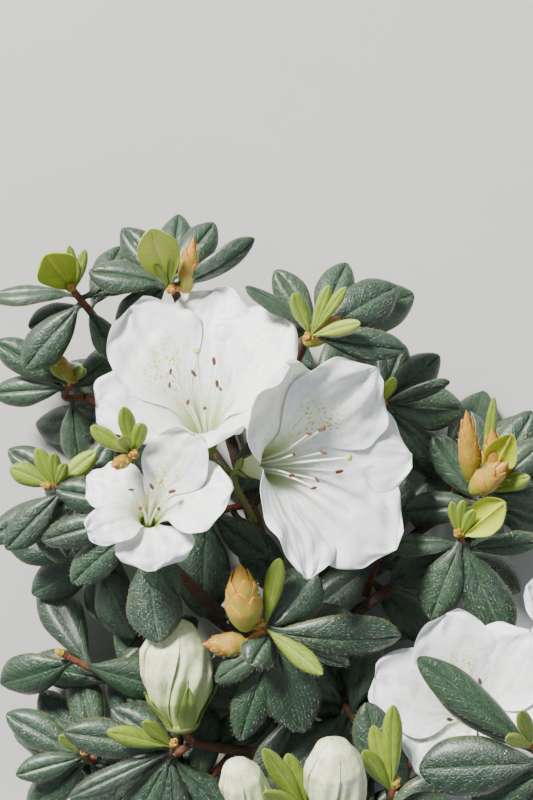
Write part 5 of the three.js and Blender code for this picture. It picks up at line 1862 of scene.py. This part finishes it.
@dataclass
class Blooms(Assembly):
    """Open blooms with their stamens, pistils, calyxes and stalks."""

    petal_grid: tuple[int, int] = (57, 33)
    petal_thickness: float = 0.42
    lobe_thickness: float = 0.35
    # Lengths, leans and thicknesses of stamens and pistil, before the bloom's scale.
    stamen: tuple[float, float, float] = (38, 14, 0.42)
    pistil: tuple[float, float, float] = (46, 7, 0.5)
    pedicel_radii: tuple[float, float] = (1.3, 1.1)
    pedicel_hairs: int = 60
    pedicel_middle: float = 1.15
    pedicel_seed: int = 2300
    hair_seed: int = 83
    # How far above the tube's base stamens and pistil start, and how far from the axis stamens do.
    thread_start: float = 1.5
    stamen_offset: float = 1.5
    # Half lengths and half widths of half an anther and of a stigma, and where an anther's halves lie.
    anther: tuple[float, float] = (1.4, 0.4)
    stigma: tuple[float, float] = (0.75, 1.2)
    anther_gap: float = 0.26
    # The green cup: how far it starts below the tube, its length, its radius, and its ribs' height.
    cup_drop: float = 2.5
    cup_length: float = 6
    cup_radius: float = 3.1
    cup_ribs: float = 0.04
    # The cup's radius along it, as shares of the greatest.
    cup_profile: tuple = ((0, 0.35, 0.65, 1), (0.35, 0.88, 0.96, 0.7))
    # The cup's lobes: half the angle that each wraps, how far round the first one is, and where each one
    # starts and how far it reaches, along the axis and away from it.
    lobe_wrap: float = 0.62
    lobe_turn: float = 0.3
    lobe_rise: tuple[float, float] = (3.4, 4.2)
    lobe_spread: tuple[float, float] = (3.0, 0.9)
    random: np.random.Generator = field(default_factory=lambda: np.random.default_rng(71))

    def petals(self, maker: MeshMaker, bloom: BloomLayout) -> None:
        """Adds a bloom's five petals.

        Args:
            maker: the piece.
            bloom: the bloom.
        """
        u, v = np.linspace(0.02, 1, self.petal_grid[0]), np.linspace(-1, 1, self.petal_grid[1])
        edge = (1 - 0.55 * np.abs(v)[None, :] ** 4) * (1 - 0.45 * smooth_step(0.9, 1, u))[:, None]
        for i in range(len(bloom.petals)):
            points, normals = PetalShape(bloom, i).points(u, v)
            marked = 1.0 if i == bloom.dorsal else 0.12
            age = float(self.random.uniform(0, 1))
            maker.shell(points, normals, self.petal_thickness * edge, lattice(u, v), marked, age)

    def threads(self, filaments: MeshMaker, anthers: MeshMaker, stigmas: MeshMaker,
                bloom: BloomLayout) -> None:
        """Adds a bloom's stamens and pistil.

        Args:
            filaments: the piece of the slim rods.
            anthers: the piece of the anthers.
            stigmas: the piece of the stigmas.
            bloom: the bloom.
        """
        first = bloom.petals[2][0]
        length, lean, radius = self.stamen
        for i in range(bloom.stamens):
            azimuth = first + 360 * (i + 0.5) / bloom.stamens
            form = (length * (0.86 + 0.07 * (i % 3)), lean * (0.6 + 0.4 * ((i * 2) % 3) / 2), radius)
            tip, way = self.thread(filaments, bloom, azimuth, form, self.stamen_offset)
            across = unit(np.cross(way, self.random.normal(size=3)))
            long = unit(across * 0.6 + way) * self.anther[0]
            for side in (-self.anther_gap, self.anther_gap):
                anthers.ovoid(tip + unit(np.cross(long, way)) * side, long, self.anther[1], 0.5, (8, 10))
        tip, way = self.thread(filaments, bloom, first, self.pistil, 0)
        stigmas.ovoid(tip - 0.5 * way, way * self.stigma[0], self.stigma[1], 0.5, (9, 14))

    def thread(self, maker: MeshMaker, bloom: BloomLayout, azimuth: float,
               form: tuple[float, float, float], offset: float) -> tuple[np.ndarray, np.ndarray]:
        """Adds the arched rod of a stamen or a pistil.

        Args:
            maker: the piece.
            bloom: the bloom.
            azimuth: the way it leans, round the bloom's axis.
            form: its length, its lean in degrees and its radius, before the bloom's scale.
            offset: how far from the axis it starts.

        Returns:
            Its tip, and the way that it points there.
        """
        length, lean, radius = form
        axis = Axis.of_bloom(bloom)
        reach = length * bloom.size
        u = np.linspace(0, 0.985, 16)[:, None]
        swing = math.tan(math.radians(lean))
        bow = offset * bloom.size + reach * swing * u**2
        points = axis.foot + axis.way * (reach * u + self.thread_start * bloom.size)
        points = points + axis.out(math.radians(azimuth)) * bow
        wide = radius * (0.6 + 0.4 * bloom.size) * np.linspace(1, 0.72, 16)[:, None]
        maker.rod(Route(points), full_turn(8), wide, 0.5, np.linspace(0, 1, 16), 1)
        return points[-1], unit(points[-1] - points[-2])

    def calyx(self, maker: MeshMaker, hairs: Hairs, bloom: BloomLayout, seed: int) -> None:
        """Adds a bloom's green cup, its five lobes and its stalk.

        Args:
            maker: the piece.
            hairs: the piece of the stalk's hairs.
            bloom: the bloom.
            seed: the start of its draws.
        """
        tube = Axis.of_bloom(bloom)
        axis = Axis(tube.foot - tube.way * self.cup_drop * bloom.size, tube.way)
        t, angle = np.linspace(0, 1, 12), full_turn(20)
        share = np.interp(t, *self.cup_profile)
        cup = self.cup_radius * bloom.size * share[:, None] * (1 + self.cup_ribs * np.cos(5 * angle))[None]
        rings = axis.about(t * self.cup_length * bloom.size, cup, axis.out(angle)[None])
        maker.tube(rings, lattice(t, angle / np.pi - 1), 0.4, np.zeros(12))
        u, v = np.linspace(0, 1, 10), np.linspace(-1, 1, 7)
        half = self.lobe_wrap * np.sqrt(np.clip(1 - u**2, LEAST, 1))
        rise, spread = (bloom.size * (start + more * u) for start, more in (self.lobe_rise, self.lobe_spread))
        for k in range(5):
            out = axis.out(2 * np.pi * k / 5 + self.lobe_turn + half[:, None] * v[None, :])
            points = axis.about(rise, spread[:, None], out)
            maker.shell(points, -out, self.lobe_thickness, lattice(u, v), 0.6)
        route = Route([tube.foot - tube.way, *bloom.pedicel])
        Wood.rod(maker, route, self.pedicel_radii, seed, PEDICEL_STYLE)
        hairs.along(route, self.pedicel_middle, self.pedicel_hairs)

    def build(self) -> None:
        """Builds the blooms' pieces."""
        finishes = {"petals": PETAL, "filaments": FILAMENT, "anthers": ANTHER, "stigmas": STIGMA,
                    "calyxes": CALYX}
        petals, filaments, anthers, stigmas, calyxes = makers = [MeshMaker(name) for name in finishes]
        hairs = Hairs("stalk_hairs", self.hair_seed)
        for i, bloom in enumerate(BLOOMS):
            self.petals(petals, bloom)
            self.threads(filaments, anthers, stigmas, bloom)
            self.calyx(calyxes, hairs, bloom, self.pedicel_seed + SEED_STEP * i)
        names = [bloom.name for bloom in BLOOMS]
        for maker, finish in zip(makers, finishes.values()):
            self.finish(maker, (finish,), Slot.PETAL, names, 70)
        self.finish(hairs.maker, (HAIR,), Slot.PETAL, names)


@dataclass
class WhiteBuds(Assembly):
    """Plump buds whose folded petals wind about each other, in green sepals."""

    petals: int = 5
    petal_thickness: float = 0.5
    sepal_thickness: float = 0.4
    # In radians: how far a petal winds round the bud, and half the angles that petals and sepals wrap.
    twist: float = 1.1
    petal_wrap: float = 0.92
    sepal_wrap: float = 0.42
    # The knob at the foot: half its length, and its radius as a share of the bud's width.
    knob: tuple[float, float] = (3.0, 0.24)

    def folded(self, maker: MeshMaker, bud: WhiteBudLayout, axis: Axis, profile: np.ndarray) -> None:
        """Adds the folded petals of a bud.

        Args:
            maker: the piece.
            bud: the bud.
            axis: its line.
            profile: its half width along it.
        """
        u, v = np.linspace(0, 1, 44)[:, None], np.linspace(-1, 1, 33)[None, :]
        radius = bud.size[1] / 2 * np.interp(u, *profile)
        low = bump(0.34, 0.3, u)
        for k in range(self.petals):
            turn = 2 * np.pi * (k + 0.5) / self.petals + self.twist * u
            wound = 0.9 + 0.065 * v + 0.05 * (1 - v**2)
            crease = 0.02 * np.sin(17 * u + 2 * k) * np.abs(v) - 0.05 * bump(0.05, 0.14, v)
            folds = np.cos(11 * v + 1.2 * np.sin(5 * u + 2 * k))
            spread = radius * (wound + crease + (0.012 + 0.05 * low) * (folds - 0.6))
            out = axis.out(turn + self.petal_wrap * v)
            points = axis.about(u[:, 0] * bud.size[0] * 0.99, spread, out)
            maker.shell(points, -out, self.petal_thickness, lattice(u[:, 0], v[0]), 0.0, k / 5)

    def sepals(self, maker: MeshMaker, bud: WhiteBudLayout, axis: Axis, profile: np.ndarray) -> None:
        """Adds the sepals that hold a bud, each following its flank to a point.

        Args:
            maker: the piece.
            bud: the bud.
            axis: its line.
            profile: its half width along it.
        """
        u, v = np.linspace(0, 1, 16)[:, None], np.linspace(-1, 1, 9)[None, :]
        for k in range(self.petals):
            reach = 0.34 + 0.06 * (k * 2 % self.petals)
            slim = self.sepal_wrap * smooth_step(1.02, 0.1, u) + 0.02 * np.sin(14 * u + k)
            out = axis.out(2 * np.pi * k / self.petals + slim * v)
            spread = bud.size[1] / 2 * np.interp(reach * u, *profile) * 1.02 + 0.25 + 1.1 * u**3
            spread = spread - 0.35 * bump(0, 0.25, v) * smooth_step(0, 0.3, u)
            points = axis.about(reach * u[:, 0] * bud.size[0], spread, out)
            maker.shell(points, -out, self.sepal_thickness, lattice(u[:, 0], v[0]), 0.3 + 0.15 * k)
        long, wide = self.knob
        maker.ovoid(axis.foot + 0.6 * axis.way, axis.way * long, bud.size[1] * wide, 0.0, (9, 14))

    def build(self) -> None:
        """Builds the pieces."""
        buds, sepals = MeshMaker("white_buds"), MeshMaker("sepals")
        profile = np.array(WHITE_BUD_PROFILE).T
        for bud in WHITE_BUDS:
            axis = Axis(bud.base, heading(*bud.aim))
            self.folded(buds, bud, axis, profile)
            self.sepals(sepals, bud, axis, profile)
        names = [bud.name for bud in WHITE_BUDS]
        self.finish(buds, (BUD_PETAL,), Slot.FLOWER_BUD, names, 60)
        self.finish(sepals, (CALYX,), Slot.FLOWER_BUD, names, 60)


@dataclass(frozen=True)
class Lamp:
    """A soft light: its place and size in metres, its power in watts and its colour."""

    name: str
    place: tuple[float, float, float]
    size: float
    power: float
    colour: Colour


@dataclass
class Studio:
    """The floor, the lights and the camera."""

    layout: Layout
    palette: Palette
    lamps: tuple = (Lamp("key", (-1.38, 1.86, 1.98), 0.6, 330.0, (1.0, 0.97, 0.91)),
                    Lamp("fill", (2.1, -1.5, 2.4), 2.7, 27.0, (0.9, 0.95, 1.0)))
    sky: Colour = (0.78, 0.88, 1.0)
    sky_strength: float = 0.33
    camera_height: float = 660
    lens: float = 84.375
    sensor: float = 36
    nearest: float = 0.01
    # In metres: half of the floor's side, and how far it lies under the lowest leaf.
    floor_reach: float = 14.0
    floor_gap: float = 0.0002

    @staticmethod
    def place(name: str, data: bpy.types.ID) -> bpy.types.Object:
        """Adds an object to the scene.

        Args:
            name: the object's name.
            data: what it shows.

        Returns:
            The object.
        """
        made = bpy.data.objects.new(name, data)
        bpy.context.scene.collection.objects.link(made)
        return made

    def floor(self) -> None:
        """Lays a wide pale floor just under the branch's lowest leaf."""
        mesh = bpy.data.meshes.new("floor")
        reach, level = self.floor_reach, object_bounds()[0][2] - self.floor_gap
        corners = [(x * reach, y * reach, level) for x, y in ((-1, -1), (1, -1), (1, 1), (-1, 1))]
        mesh.from_pydata(corners, [], [(0, 1, 2, 3)])
        mesh.uv_layers.new(name="surface")
        mesh.materials.append(self.palette.of(FLOOR))
        self.place("floor", mesh)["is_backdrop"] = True

    def light(self, lamp: Lamp) -> None:
        """Adds a soft light that faces the branch.

        Args:
            lamp: the light's place, size, power and colour.
        """
        data = bpy.data.lights.new(lamp.name, "AREA")
        data.size, data.energy, data.color = lamp.size, lamp.power, lamp.colour
        made = self.place(lamp.name, data)
        made.location = lamp.place
        made.rotation_mode = "QUATERNION"
        made.rotation_quaternion = (-Vector(lamp.place)).to_track_quat("-Z", "Y")
        made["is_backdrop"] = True

    def build(self) -> None:
        """Sets up the studio."""
        self.floor()
        for lamp in self.lamps:
            self.light(lamp)
        world = bpy.data.worlds.new("studio")
        world.use_nodes = True
        shade = world.node_tree.nodes["Background"]
        shade.inputs["Color"].default_value = (*self.sky, 1)
        shade.inputs["Strength"].default_value = self.sky_strength
        bpy.context.scene.world = world
        data = bpy.data.cameras.new("camera")
        data.sensor_width, data.lens, data.clip_start = self.sensor, self.lens, self.nearest
        camera = self.place("camera", data)
        camera.location = self.layout.metres(np.array((0.0, 0.0, self.camera_height)))
        bpy.context.scene.camera = camera


def main() -> None:
    """Builds the branch and its studio."""
    logging.basicConfig(level=logging.INFO, format="%(name)s: %(message)s")
    layout = Layout(frame["nodes"])
    palette = Palette()
    for assembly in (Wood, Foliage, ScaledBuds, Blooms, WhiteBuds, Studio):
        assembly(layout, palette).build()


if __name__ == "__main__":
    main()
